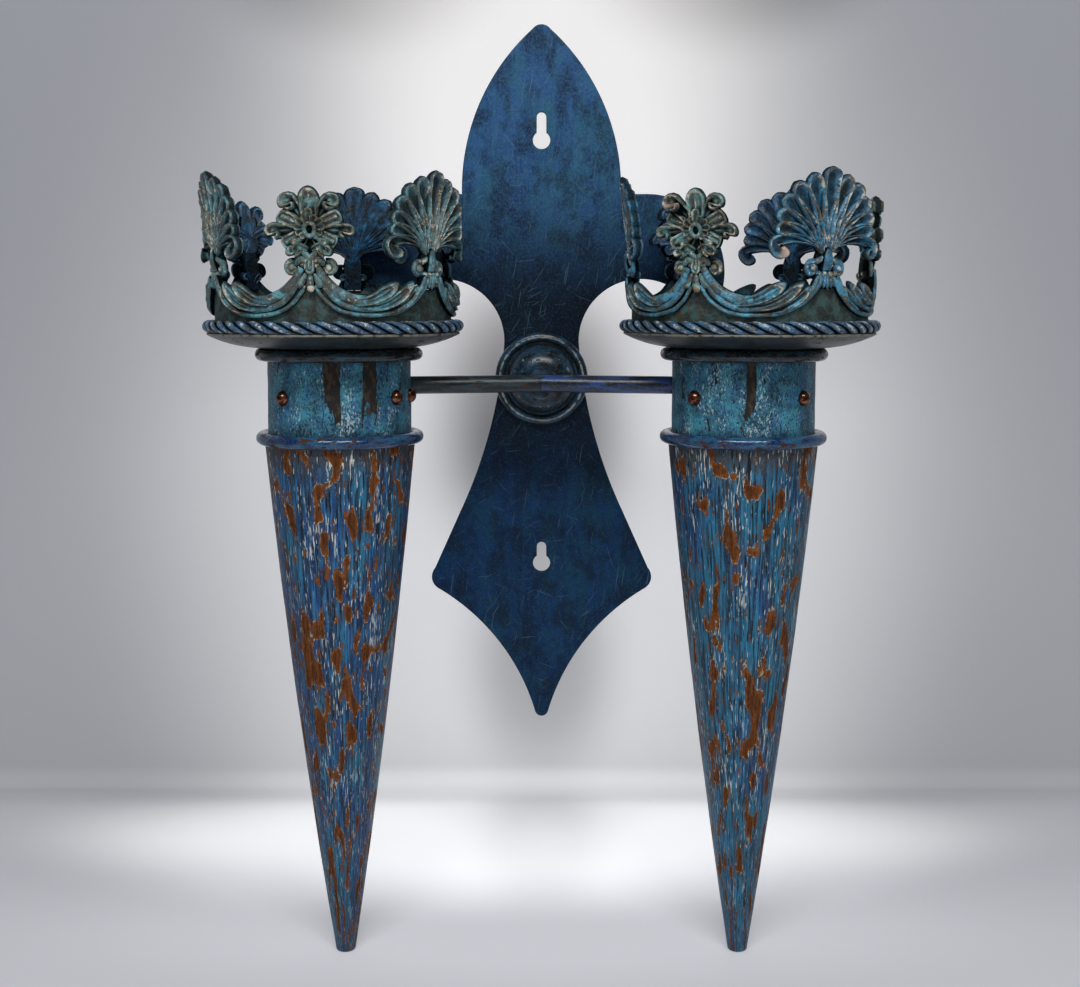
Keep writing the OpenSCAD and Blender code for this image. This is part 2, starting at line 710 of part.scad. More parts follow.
shell(left, 1);  // left_shell_2
shell(left, 2);  // left_shell_3
shell(right, 0);  // right_shell_1
shell(right, 1);  // right_shell_2
shell(right, 2);  // right_shell_3
flower(left, 0);  // left_flower_1
flower(left, 1);  // left_flower_2
flower(left, 2);  // left_flower_3
flower(right, 0);  // right_flower_1
flower(right, 1);  // right_flower_2
flower(right, 2);  // right_flower_3
swag(left, 0);  // left_swag_1
swag(left, 1);  // left_swag_2
swag(left, 2);  // left_swag_3
swag(left, 3);  // left_swag_4
swag(left, 4);  // left_swag_5
swag(left, 5);  // left_swag_6
swag(right, 0);  // right_swag_1
swag(right, 1);  // right_swag_2
swag(right, 2);  // right_swag_3
swag(right, 3);  // right_swag_4
swag(right, 4);  // right_swag_5
swag(right, 5);  // right_swag_6
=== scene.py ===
"""Looks of a two-light wall candle holder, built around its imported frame.

Every object is in metres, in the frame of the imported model: the origin is on the wall plane behind the
boss, +Z is up and -Y leaves the wall. Sizes in this file are in millimetres and are turned to metres
when a mesh or a material is made.
"""
import logging
from collections.abc import Callable
from dataclasses import dataclass, field, replace
from enum import Enum

import bmesh
import bpy
import numpy as np
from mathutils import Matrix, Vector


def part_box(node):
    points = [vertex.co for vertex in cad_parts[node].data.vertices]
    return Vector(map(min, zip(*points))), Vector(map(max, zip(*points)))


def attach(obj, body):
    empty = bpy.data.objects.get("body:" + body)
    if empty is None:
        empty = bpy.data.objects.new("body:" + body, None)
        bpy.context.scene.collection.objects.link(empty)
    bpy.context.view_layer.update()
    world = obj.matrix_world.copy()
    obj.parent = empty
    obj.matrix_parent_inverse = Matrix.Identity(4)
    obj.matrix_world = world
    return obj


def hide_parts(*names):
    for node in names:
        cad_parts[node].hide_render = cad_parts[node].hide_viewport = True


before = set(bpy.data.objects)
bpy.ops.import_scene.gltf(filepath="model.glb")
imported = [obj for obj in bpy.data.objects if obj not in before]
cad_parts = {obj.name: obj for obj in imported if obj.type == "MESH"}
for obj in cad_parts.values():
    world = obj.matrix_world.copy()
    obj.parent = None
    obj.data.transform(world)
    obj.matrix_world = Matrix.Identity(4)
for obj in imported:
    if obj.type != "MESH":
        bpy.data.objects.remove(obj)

Array = np.ndarray
Socket = bpy.types.NodeSocket
Tree = bpy.types.NodeTree
Size = tuple[float, float, float]

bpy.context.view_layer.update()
BODY = "root"
MM = 0.001
LOG = logging.getLogger("wall_candle_holder")


# Shader helpers

def linear(code: str) -> tuple[float, float, float, float]:
    """Turns an sRGB hex value to a linear colour.

    Args:
        code: Six hex digits.

    Returns:
        Linear red, green and blue, with an alpha of one.
    """
    values = np.array([int(code[i:i + 2], 16) for i in (0, 2, 4)]) / 255
    bent = ((values + 0.055) / 1.055) ** 2.4
    return (*np.where(values <= 0.04045, values / 12.92, bent).tolist(), 1.0)


def add_node(tree: Tree, kind: str, inputs: dict | None = None, output: int | str = 0,
             **settings) -> Socket | None:
    """Adds a shader node with its settings and links.

    Args:
        tree: The tree that takes the node.
        kind: The node's type.
        inputs: Input name or number to a value, or to the socket that is linked to it.
        output: The output that is given back.
        settings: The node's own settings.

    Returns:
        One output socket of the node.
    """
    node = tree.nodes.new(kind)
    for name, value in settings.items():
        setattr(node, name, value)
    for key, value in (inputs or {}).items():
        if isinstance(value, Socket):
            tree.links.new(value, node.inputs[key])
        else:
            node.inputs[key].default_value = value
    return node.outputs[output] if node.outputs else None


@dataclass(frozen=True)
class Mixer:
    """A material's tree, with the few moves that every finish is made of.

    Attributes:
        tree: The material's tree.
        place: Coordinates in metres that the noise lies on.
        seed: Place in the noise, so that two pieces don't share a pattern.
    """

    tree: Tree
    place: Socket
    seed: float = 0.0

    @classmethod
    def start(cls, name: str, seed: float = 0.0) -> tuple[bpy.types.Material, "Mixer"]:
        """Makes an empty material, and its mixer on object coordinates."""
        made = bpy.data.materials.new(name)
        made.use_nodes = True
        made.node_tree.nodes.clear()
        place = add_node(made.node_tree, "ShaderNodeTexCoord", output="Object")
        return made, cls(made.node_tree, place, seed)

    def maths(self, operation: str, *values: Socket | float) -> Socket:
        """One step of arithmetic."""
        return add_node(self.tree, "ShaderNodeMath", dict(enumerate(values)), operation=operation)

    def vector(self, operation: str, *values: Socket | Size, output: int | str = 0) -> Socket:
        """One step of arithmetic on vectors."""
        return add_node(self.tree, "ShaderNodeVectorMath", dict(enumerate(values)), output,
                        operation=operation)

    def along(self, axis: str, vector: Socket | None = None) -> Socket:
        """One axis of a vector, or of the place."""
        vector = self.place if vector is None else vector
        return add_node(self.tree, "ShaderNodeSeparateXYZ", {0: vector}, axis)

    def attribute(self, name: str) -> Socket:
        """A value that the mesh has at each point."""
        return add_node(self.tree, "ShaderNodeAttribute", output="Fac", attribute_name=name)

    def ramp(self, value: Socket, start: float, full: float, most: float = 1.0, least: float = 0.0,
             blend: str = "SMOOTHSTEP") -> Socket:
        """Turns a value from start to full into one from least to most."""
        return add_node(self.tree, "ShaderNodeMapRange", {
            0: value, 1: start, 2: full, 3: least, 4: most}, interpolation_type=blend)

    def line(self, value: Socket, start: float, full: float, most: float = 1.0, least: float = 0.0) -> Socket:
        """A ramp that is straight."""
        return self.ramp(value, start, full, most, least, "LINEAR")

    def spot(self, middle: Size, size: Size, turn: float = 0.0) -> Socket:
        """The place from a middle in metres, in units of a size in millimetres, turned about Y by degrees."""
        return add_node(self.tree, "ShaderNodeMapping", {
            "Vector": self.place, "Location": middle, "Rotation": (0, np.radians(turn), 0),
            "Scale": [v * MM for v in size]}, vector_type="TEXTURE")

    def noise(self, size: Size, seed: float, detail: float = 2.0, rough: float = 0.5,
              turn: float = 0.0) -> Socket:
        """Cloud noise from 0 to 1 at a real size.

        Args:
            size: Width, depth and height of one cloud in millimetres.
            seed: Place in the noise, on top of the mixer's.
            detail: Octaves of finer noise.
            rough: Strength of the finer octaves.
            turn: Turn of the stretched noise about Y, in degrees.

        Returns:
            The noise.
        """
        seed += self.seed
        spot = self.spot((seed, 0.37 * seed, -0.61 * seed), size, turn)
        return add_node(self.tree, "ShaderNodeTexNoise", {
            "Vector": spot, "Scale": 1.0, "Detail": detail, "Roughness": rough})

    def blotch(self, size: Size, cut: float, soft: float, seed: float, detail: float = 2.0,
               rough: float = 0.5, turn: float = 0.0, add: Socket | None = None) -> Socket:
        """Mask that is 1 where the noise is above a level.

        Args:
            size: Width, depth and height of one blotch in millimetres.
            cut: Level of the noise in the middle of the blotch's edge.
            soft: Width of the edge, as a share of the noise.
            seed: Place in the noise, on top of the mixer's.
            detail: Octaves of finer noise.
            rough: Strength of the finer octaves.
            turn: Turn of the stretched noise about Y, in degrees.
            add: A value that is added to the noise before the cut.

        Returns:
            The mask.
        """
        level = self.noise(size, seed, detail, rough, turn)
        if add is not None:
            level = self.maths("ADD", level, add)
        return self.ramp(level, cut - soft / 2, cut + soft / 2)

    def total(self, *terms: tuple[Socket, float]) -> Socket:
        """Sum of masks, each times its weight."""
        total: Socket | float = 0.0
        for mask, weight in terms:
            total = self.maths("MULTIPLY_ADD", mask, weight, total)
        return total

    def coat(self, ground: Socket | str, *layers: tuple[Socket, float, Socket | str]) -> Socket:
        """Lays colours over a ground, one by one.

        Args:
            ground: The first colour, as a socket or a hex value.
            layers: Where each colour lies, how strongly it covers, and the colour.

        Returns:
            The colour of all layers together.
        """
        colour = linear(ground) if isinstance(ground, str) else ground
        for mask, weight, paint in layers:
            share = mask if weight == 1 else self.total((mask, weight))
            paint = linear(paint) if isinstance(paint, str) else paint
            colour = add_node(self.tree, "ShaderNodeMix", {0: share, 6: colour, 7: paint}, 2,
                              data_type="RGBA")
        return colour


# Finishes

Layers = tuple[Socket, Socket, Socket]


@dataclass(frozen=True)
class Finish:
    """Base of the finishes. A finish makes one material from its own layers.

    Attributes:
        name: The material's name.
        seed: Place in the noise.
        roughness: Roughness of the sound surface.
        bare_roughness: Roughness where the paint is gone.
        metallic: Metallic share of the whole surface.
        gloss: Specular level of the sound surface, lower where old paint has gone chalky.
        bare_gloss: Specular level where the paint is gone.
        relief: Depth of the bump in millimetres.
    """

    name: str
    seed: float = 0.0
    roughness: float = 0.42
    bare_roughness: float = 0.7
    metallic: float = 0.0
    gloss: float = 0.5
    bare_gloss: float = 0.5
    relief: float = 0.25

    def layers(self, m: Mixer) -> Layers:
        """What the finish is made of.

        Args:
            m: The material's mixer.

        Returns:
            The colour, the share of bare ground and the height of the paint.
        """
        raise NotImplementedError

    def material(self) -> bpy.types.Material:
        """Makes the material: the layers go into one Principled surface with a bump."""
        made, m = Mixer.start(self.name, self.seed)
        colour, bare, height = self.layers(m)
        bump = add_node(m.tree, "ShaderNodeBump", {
            "Strength": 1.0, "Distance": self.relief * MM, "Height": height})
        shade = add_node(m.tree, "ShaderNodeBsdfPrincipled", {
            "Base Color": colour, "Normal": bump, "Metallic": self.metallic,
            "Roughness": m.line(bare, 0, 1, self.bare_roughness, self.roughness),
            "Specular IOR Level": m.line(bare, 0, 1, self.bare_gloss, self.gloss)})
        add_node(m.tree, "ShaderNodeOutputMaterial", {"Surface": shade})
        return made


@dataclass(frozen=True)
class FlakingPaintOnTurnedWood(Finish):
    """Old blue milk paint on a turned softwood cone: it cracks along the grain and flakes off in islands.

    The eye sees fine pale splinters in rows, brown islands of grainy bare wood with dark hearts and broken
    pale edges, brown stains round them, and blue that wanders between ultramarine and teal.

    Attributes:
        axis: X and Y of the cone's axis in millimetres.
        wrap_r: Radius of the cylinder that the pattern is wrapped on, in millimetres.
        islands: Level above which the wood is bare. Less is barer.
        teal: Level above which the paint is teal. Less is more teal.
        stain: Level above which the paint is stained brown. Less is browner.
        under_bead_dark_z: Heights in millimetres where the darker grey-brown under the bead starts and is
            full.
    """

    axis: tuple[float, float] = (0.0, 0.0)
    wrap_r: float = 30.0
    islands: float = 0.66
    teal: float = 0.55
    stain: float = 0.6
    under_bead_dark_z: tuple[float, float] = (-46.0, -31.0)
    gloss: float = 0.35
    bare_gloss: float = 0.2
    relief: float = 0.3

    def wrapped(self, m: Mixer) -> Socket:
        """Place on a plain cylinder about the axis, so that the grain runs down the cone's side."""
        centred = m.vector("ADD", m.place, (-self.axis[0] * MM, -self.axis[1] * MM, 0))
        round_way = m.vector("NORMALIZE", m.vector("MULTIPLY", centred, (1, 1, 0)))
        upright = m.vector("MULTIPLY", centred, (0, 0, 1))
        return m.vector("MULTIPLY_ADD", round_way, (self.wrap_r * MM,) * 3, upright)

    def layers(self, m: Mixer) -> Layers:
        """Streaky blue with dark and pale lines, splinters, stained islands, and darker grey-brown under the
        bead.
        """
        up = m.along("Z")
        m = replace(m, place=self.wrapped(m))
        near = m.noise((8, 8, 30), 5)
        ragged = m.noise((1.5, 1.5, 3.2), 3, 3, 0.6)
        grit = m.blotch((0.8, 0.8, 1.2), 0.5, 0.3, 4)
        deep = m.blotch((17, 17, 60), self.teal, 0.14, 1, 3)
        streak = m.blotch((0.9, 0.9, 17), 0.54, 0.16, 2, 3)
        dark = m.blotch((1.3, 1.3, 22), 0.55, 0.1, 6, 3)
        veil = m.blotch((13, 13, 36), 0.54, 0.16, 8, 3)
        crack = m.blotch((0.7, 0.7, 12), 0.63, 0.05, 7, 1)
        rows = m.total((near, 0.4))
        splinter = m.blotch((0.56, 0.56, 6.0), 0.878, 0.05, 11, 1, add=rows)
        flake = m.blotch((1.0, 1.0, 4.5), 0.94, 0.04, 12, add=rows)
        torn = m.total((ragged, 0.13))
        level = m.total((m.noise((6.6, 6.6, 15), 13, 1, 0.4), 1), (torn, 1))
        small = m.total((m.noise((2.6, 2.6, 7), 14), 0.86), (torn, 0.7), (level, 0.12))
        cut = self.islands
        stain, edge, island, heart, chip = (
            m.ramp(value, at - width / 2, at + width / 2) for value, at, width in (
                (level, self.stain, 0.16), (level, cut - 0.014, 0.012), (level, cut, 0.01),
                (level, cut + 0.045, 0.05), (small, cut, 0.012)))
        edge = m.maths("MULTIPLY", edge, m.blotch((1.1, 1.1, 2.4), 0.53, 0.08, 17))
        bare = m.maths("MAXIMUM", island, chip)
        # Darker grey-brown towards the top of the cone, under the bead.
        under_bead_dark = m.line(up, self.under_bead_dark_z[0] * MM, self.under_bead_dark_z[1] * MM, 0.56)
        under_bead_dark = m.line(m.total((under_bead_dark, 1), (ragged, 0.8)), 0.5, 0.85)
        blue = m.coat("133c72", (deep, 1, "1f6c8a"), (veil, 0.5, "23405a"), (streak, 0.56, "3a8aba"),
                      (dark, 0.86, "08142a"), (stain, 0.45, "463832"), (under_bead_dark, 0.85, "3b342f"),
                      (grit, 0.16, "5c8299"), (crack, 1, "0c1422"))
        mottled = m.blotch((1.6, 1.6, 3.0), 0.56, 0.1, 18, 3)
        brown = m.coat("713d1a", (grit, 0.7, "8f5626"), (heart, 0.55, "2c180e"), (mottled, 0.6, "371e10"),
                       (streak, 0.25, "a2663a"))
        colour = m.coat(blue, (splinter, 0.85, "dcdfda"), (flake, 0.9, "e0d9c6"), (edge, 1, "c8b595"),
                        (bare, 1, brown))
        return colour, bare, m.total((bare, -0.9), (splinter, -0.4), (crack, -0.5), (streak, 0.2),
                                     (grit, 0.12))


@dataclass(frozen=True)
class GranularPaintOnSheet(Finish):
    """Gritty teal-blue paint on a sheet steel collar, brushed on upright and worn off in upright strips.

    The eye sees fine pale and dark grit over blue, turquoise clouds and dark grey-brown bare strips.

    Attributes:
        strips: X of the middle, half width and Z of the lower end of each bare strip on the front, in
            millimetres.
        strip_y: Y of the strips' middle, and their half depth, in millimetres.
        strip_top: Z of the strips' upper end in millimetres.
        middle_z: Z of the collar's middle in millimetres. The paint is darker toward both its edges.
    """

    strips: tuple[Size, ...] = ()
    strip_y: tuple[float, float] = (-108.0, 34.0)
    strip_top: float = 24.0
    middle_z: float = -4.6
    relief: float = 0.16
    gloss: float = 0.3
    bare_gloss: float = 0.2

    def layers(self, m: Mixer) -> Layers:
        """Grainy blue, turquoise clouds, pale and dark grit and bare strips."""
        grain = m.blotch((1.0, 1.0, 1.6), 0.5, 0.2, 1, 4, 0.6)
        rows = m.total((m.noise((8, 8, 14), 10), 0.56))
        pale = m.blotch((0.8, 0.8, 1.6), 0.93, 0.10, 2, 3, add=rows)
        violet = m.blotch((7, 7, 8), 0.55, 0.14, 8, 4)
        pit = m.blotch((0.8, 0.8, 1.4), 0.59, 0.08, 9, 3)
        cloud = m.blotch((9, 9, 14), 0.52, 0.16, 3, 4)
        torn = m.total((m.noise((1.8, 1.8, 3.2), 5, 4), 0.34))
        level = m.total((m.noise((5.5, 5.5, 20), 4), 1), (torn, 1))
        y, depth = self.strip_y
        for x, half, low in self.strips:
            spot = m.spot((x * MM, y * MM, self.strip_top * MM), (half, depth, self.strip_top - low))
            aside = m.vector("ABSOLUTE", spot)
            way = m.maths("MAXIMUM", m.along("X", aside), m.along("Z", aside))
            way = m.maths("MAXIMUM", way, m.along("Y", aside))
            level = m.maths("ADD", level, m.line(way, 1.34, 0.86, 0.42))
        strip = m.ramp(level, 0.84, 0.86)
        rust = m.blotch((2, 2, 4), 0.55, 0.14, 6, 4)
        soot = m.blotch((13, 13, 9), 0.53, 0.18, 7, 4)
        # Darker toward both edges, next to the beads.
        edge = m.maths("ABSOLUTE", m.maths("ADD", m.along("Z"), -self.middle_z * MM))
        edge = m.line(m.total((edge, 1 / MM), (m.noise((3, 3, 3), 12, 4), 12.0)), 21.0, 26.0)
        blue = m.coat("285776", (cloud, 1, "3f8ca4"), (violet, 0.75, "2a5088"), (soot, 0.75, "19344a"),
                      (grain, 0.5, "55909f"), (pale, 0.7, "bcd4d8"), (pit, 0.8, "111d26"),
                      (edge, 0.8, "1f2a30"))
        colour = m.coat(blue, (strip, 1, m.coat("2a2826", (rust, 0.8, "4a3d33"))))
        return colour, strip, m.total((strip, -0.8), (grain, 0.4), (pale, 0.3), (pit, -0.4))


@dataclass(frozen=True)
class ScratchedPaintOnPlate(Finish):
    """Satin navy to teal paint on rolled sheet, brushed on upright and finely scratched since.

    The eye sees mottled navy with ultramarine and teal clouds, upright brush streaks, fine pale grit and
    hair scratches that cross.

    Attributes:
        scratch_w: Width of a hair scratch, about twice the real one, so that it shows in the render.
        scratch_turns: Turns of the scratches from upright, in degrees.
        head_z: Heights in millimetres where the head's lighter colour starts and is full: partly lighter
            paint, partly painted light.
        waist_z: Heights in millimetres where the painted shadow of the boss and arms on the waist starts and
            is full.
    """

    relief: float = 0.05
    roughness: float = 0.4
    bare_roughness: float = 0.5
    gloss: float = 0.16
    bare_gloss: float = 0.3
    scratch_w: float = 0.42
    scratch_turns: tuple[float, ...] = (9, 33, 61, 84, 112, 139, 163)
    head_z: tuple[float, float] = (30.0, 120.0)
    waist_z: tuple[float, float] = (-76.0, -18.0)

    def layers(self, m: Mixer) -> Layers:
        """Mottled blue, lighter on the head and with a painted shadow at the waist, brush streaks, teal and
        dark clouds, grit and crossing hair scratches.
        """
        cloud = m.blotch((20, 20, 34), 0.5, 0.2, 1, 5, 0.65)
        teal = m.blotch((16, 16, 40), 0.55, 0.14, 6, 4, 0.6)
        brush = m.blotch((1.6, 1.6, 34), 0.52, 0.26, 2, 4)
        mottle = m.blotch((2.6, 2.6, 3.6), 0.53, 0.16, 3, 5, 0.7)
        grit = m.blotch((0.8, 0.8, 1.0), 0.6, 0.1, 7)
        fine = m.blotch((1.1, 1.1, 1.6), 0.54, 0.2, 8, 4, 0.65)
        soot = m.blotch((12, 12, 16), 0.53, 0.16, 4, 5, 0.65)
        up = m.along("Z")
        head = m.ramp(up, self.head_z[0] * MM, self.head_z[1] * MM)
        fine = m.maths("MULTIPLY", fine, m.maths("MULTIPLY", head, 0.26))
        # Painted shadow of the boss and arms over the waist, fading out under the head.
        under = m.maths("MULTIPLY", m.ramp(up, self.waist_z[0] * MM, self.waist_z[1] * MM),
                        m.maths("SUBTRACT", 1.0, head))
        # Each colour is lighter on the head: partly lighter paint, partly painted light.
        blue, light, green = (m.coat(low, (head, 1, high)) for low, high in (
            ("0a2240", "1f4170"), ("133a68", "325f92"), ("133d50", "2f657c")))
        colour = m.coat(blue, (cloud, 0.62, light), (teal, 0.62, green), (brush, 0.4, light),
                        (mottle, 0.5, green), (soot, 0.6, "0c1a2a"), (under, 0.8, "050b12"),
                        (grit, 0.07, "6f93a6"), (fine, 1, "5d7ea0"))
        fade = m.total((m.noise((18, 18, 30), 5, 3), 0.12))
        scratches: Socket | None = None
        for i, turn in enumerate(self.scratch_turns):
            line = m.blotch((self.scratch_w, 24, 20), 0.885, 0.05, 11 + 7 * i, 0.0, turn=turn, add=fade)
            scratches = line if scratches is None else m.maths("MAXIMUM", scratches, line)
        colour = m.coat(colour, (scratches, 0.28, "6f9bb4"))
        return colour, scratches, m.total((brush, 0.3), (scratches, -0.4), (mottle, 0.3), (grit, 0.1))


@dataclass(frozen=True)
class WornPaintOnTurnedMetal(Finish):
    """Dark satin paint on turned steel, rubbed through on what stands out.

    The eye sees a dark ground with lighter clouds, fine grit, a few pale specks and rusty rubs.

    Attributes:
        ground: Hex colour of the paint.
        cloud: Hex colour of its lighter clouds.
        speck: Hex colour of the specks.
        rub: Hex colour where it is rubbed through.
        clouds: Level above which a cloud begins.
        rubs: Level above which a rub begins.
        size: Size of the clouds and rubs in millimetres.
    """

    ground: str = "131f24"
    cloud: str = "22343d"
    speck: str = "8a949a"
    rub: str = "6b6458"
    clouds: float = 0.52
    rubs: float = 0.66
    size: Size = (6.0, 6.0, 6.0)
    relief: float = 0.08
    bare_gloss: float = 0.2

    def layers(self, m: Mixer) -> Layers:
        """Dark ground, clouds, grit, specks and rubs, and pale wear where the mesh says that it is bare."""
        cloud = m.blotch(self.size, self.clouds, 0.18, 1, 5, 0.6)
        grit = m.blotch((0.9, 0.9, 0.9), 0.55, 0.2, 5, 3)
        speck = m.blotch((1.0, 1.0, 1.0), 0.76, 0.05, 2, 1)
        rub = m.blotch(tuple(0.7 * v for v in self.size), self.rubs, 0.05, 3, 5, 0.68)
        worn = m.total((m.attribute("bare"), 0.5), (m.noise((2.4, 2.4, 2.4), 6, 4), 1.0))
        colour = m.coat(self.ground, (cloud, 1, self.cloud), (grit, 0.1, self.speck), (rub, 1, self.rub),
                        (speck, 0.6, self.speck), (m.ramp(worn, 0.82, 0.98), 0.8, self.speck))
        return colour, rub, m.total((cloud, 0.3), (rub, -0.4), (speck, -0.3), (grit, 0.2))


@dataclass(frozen=True)
class PolishedCopper(Finish):
    """Copper dome nails, pressed and rubbed bright: the eye sees warm metal with brown tarnish in patches."""

    metallic: float = 1.0
    roughness: float = 0.24
    bare_roughness: float = 0.5
    relief: float = 0.05

    def layers(self, m: Mixer) -> Layers:
        """Copper with tarnish."""
        tarnish = m.blotch((2, 2, 2), 0.5, 0.2, 0, 3)
        return m.coat("9c6a54", (tarnish, 1, "4a2c22")), tarnish, m.total((tarnish, -0.4))


@dataclass(frozen=True)
class PlainSteel(Finish):
    """Turned mild steel with a dull dark skin, which nobody sees once the candle is in."""

    metallic: float = 1.0
    roughness: float = 0.45
    relief: float = 0.05

    def layers(self, m: Mixer) -> Layers:
        """Steel with darker clouds."""
        dull = m.blotch((3, 3, 3), 0.5, 0.2, 0, 4)
        return m.coat("77787a", (dull, 1, "3f4043")), dull, m.total((dull, -0.3))


@dataclass(frozen=True)
class PatinatedCasting(Finish):
    """Cast ornament under a blue-green wash: the wash stays in the hollows and is rubbed off the ridges.

    The eye sees black recesses, which are partly dark wash and partly painted shade, grey-teal flanks with
    turquoise clouds, and bone and gold-brown ridges, which are rubbed wear and also painted highlights. The
    surface's own attributes say what is low (relief 0) and high (relief 1), how deep a place lies between its
    neighbours (shade), and what was bent bare (bare).

    Attributes:
        flank: Hex colour of the wash on the flanks.
        wash: Hex colour of its brighter clouds.
        dull: Hex colour of its grey-brown clouds.
        tips: Hex colour towards the top, or nothing.
        tips_z: Heights in millimetres where the tips' colour starts and is full.
        bone: Hex colour of the rubbed ridges, which also stand in for highlights.
        gold: Hex colour of their darker patches.
        washes: Level above which a bright cloud begins.
        dulls: Level above which a grey-brown cloud begins.
        ridge: Relief above which the ridges are rubbed.
    """

    flank: str = "38525a"
    wash: str = "47889a"
    dull: str = "484a42"
    tips: str = ""
    tips_z: tuple[float, float] = (84.0, 106.0)
    bone: str = "d0ccba"
    gold: str = "8c7a5c"
    washes: float = 0.56
    dulls: float = 0.54
    ridge: float = 0.83
    roughness: float = 0.32
    bare_roughness: float = 0.95
    gloss: float = 0.55
    bare_gloss: float = 0.0
    relief: float = 0.32

    def layers(self, m: Mixer) -> Layers:
        """Dark hollows, partly dark wash and partly painted shade, which are also the matt part, washed
        flanks, and rubbed ridges that are partly painted highlights.
        """
        high, shade = m.attribute("relief"), m.attribute("shade")
        wash = m.blotch((6, 6, 6), self.washes, 0.16, 1, 4, 0.6)
        dull = m.blotch((7, 7, 7), self.dulls, 0.14, 2, 4, 0.6)
        grit = m.blotch((0.9, 0.9, 0.9), 0.5, 0.3, 3, 3)
        pit = m.blotch((1.2, 1.2, 1.2), 0.6, 0.1, 6, 3)
        worn = m.noise((1.8, 1.8, 1.8), 4, 5, 0.65)
        level = m.total((high, 1.0), (worn, 1.5), (shade, -0.5))
        # Pale rubbed ridges: wear, and also painted highlights on the rims.
        rubbed = m.ramp(level, self.ridge + 0.74, self.ridge + 0.9)
        # Near-black in low places and deep between neighbours: partly dark wash, partly painted shade.
        hollow = m.maths("MAXIMUM", m.ramp(high, 0.56, 0.2), m.ramp(shade, 0.12, 0.5))
        bone = m.coat(self.bone, (m.blotch((4, 4, 4), 0.5, 0.1, 5, 3), 1, self.gold))
        flank = m.coat(self.flank, (wash, 1, self.wash), (dull, 1, self.dull))
        if self.tips:
            tip = m.line(m.along("Z"), self.tips_z[0] * MM, self.tips_z[1] * MM, 0.75)
            flank = m.coat(flank, (tip, 1, self.tips))
        colour = m.coat(flank, (grit, 0.3, "74898c"), (pit, 0.5, "141c20"), (hollow, 0.96, "04070a"),
                        (rubbed, 0.9, bone), (m.attribute("bare"), 1, "c4ab97"))
        return colour, hollow, m.total((grit, 0.35), (pit, -0.4), (wash, 0.15))


# Curves and skins, in millimetres

class Section(Enum):
    """Front of a leaf or strand, by how far it is from the middle (0) to the edge (1)."""

    ROUND = "round"
    GOUGE = "gouge"
    REEDED = "reeded"

    def height(self, off: Array) -> Array:
        """Share of the full height at a share of the half width.

        A round front is half an ellipse. A gouged one is a hollow between two rims. A reeded one has
        three ridges. All come down to nothing at the edge.

        Args:
            off: Distance from the middle as a share of the half width, 0 to 1.

        Returns:
            Height as a share of the full height.
        """
        edge = np.sqrt(np.clip(1 - off ** 6, 0, 1))
        if self is Section.ROUND:
            return np.sqrt(np.clip(1 - off ** 2, 0, 1))
        if self is Section.GOUGE:
            return (0.16 + 0.84 * np.exp(-(((off - 0.74) / 0.2) ** 2))) * edge
        return (0.45 + 0.55 * np.abs(np.cos(1.5 * np.pi * off))) * edge

    def tone(self, off: Array) -> Array:
        """Relief value at a share of the half width: 1 on rims and ridges, near 0 on the outer edge.

        Args:
            off: Distance from the middle as a share of the half width, 0 to 1.

        Returns:
            The relief value.
        """
        edge = np.clip((1 - off) / 0.2, 0, 1)
        if self is Section.ROUND:
            return (0.3 + 0.42 * np.sqrt(np.clip(1 - off ** 2, 0, 1))) * edge
        if self is Section.GOUGE:
            return np.maximum((0.34 + 0.66 * np.exp(-(((off - 0.66) / 0.19) ** 2))) * edge, 0.3 * (off > 0.8))
        return (0.34 + 0.6 * np.cos(1.5 * np.pi * off) ** 2) * edge


def smooth_path(points: list[Size] | Array, count: int) -> Array:
    """Catmull-Rom curve through the points: a cubic between each pair, with its ends extended straight.

    Args:
        points: Points, one row each.
        count: Samples, evenly spread over the pairs.

    Returns:
        The samples, one row each.
    """
    p = np.asarray(points, float)
    p = np.vstack([2 * p[0] - p[1], p, 2 * p[-1] - p[-2]])
    t = np.linspace(0, len(points) - 1, count)
    k = np.minimum(t.astype(int), len(points) - 2)
    f = (t - k)[:, None]
    a, b, c, d = p[k], p[k + 1], p[k + 2], p[k + 3]
    return 0.5 * (2 * b + (c - a) * f + (2 * a - 5 * b + 4 * c - d) * f ** 2
                  + (3 * b - a - 3 * c + d) * f ** 3)


def ripple(place: Array, waves: int, seed: int, length: float) -> Array:
    """Smooth seeded unevenness from -1 to 1: a sum of plane waves in seeded directions.

    Args:
        place: Points in millimetres, one row each.
        waves: Count of plane waves.
        seed: Seed of their directions and phases.
        length: Typical wave length in millimetres.

    Returns:
        One value a point.
    """
    rng = np.random.default_rng(seed)
    ways = rng.normal(size=(waves, 3))
    ways *= (2 * np.pi / length * rng.uniform(0.6, 1.6, waves) / np.linalg.norm(ways, axis=1))[:, None]
    return np.sin(place @ ways.T + rng.uniform(0, 2 * np.pi, waves)).mean(-1) * 1.6


def placed(name: str, data: bpy.types.ID) -> bpy.types.Object:
    """Makes an object of its data and links it to the scene."""
    made = bpy.data.objects.new(name, data)
    bpy.context.scene.collection.objects.link(made)
    return made


def face_outwards(mesh: bpy.types.Mesh, weld: float = 0.0) -> None:
    """Turns a mesh's faces outwards, after welding points that are closer than weld in metres."""
    work = bmesh.new()
    work.from_mesh(mesh)
    if weld:
        bmesh.ops.remove_doubles(work, verts=work.verts, dist=weld)
    bmesh.ops.recalc_face_normals(work, faces=work.faces)
    work.to_mesh(mesh)
    work.free()


def axis_of(node: str) -> tuple[float, float]:
    """X and Y of a node's middle in millimetres, from the frame."""
    low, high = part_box(node)
    return ((low.x + high.x) / 2 / MM, (low.y + high.y) / 2 / MM)


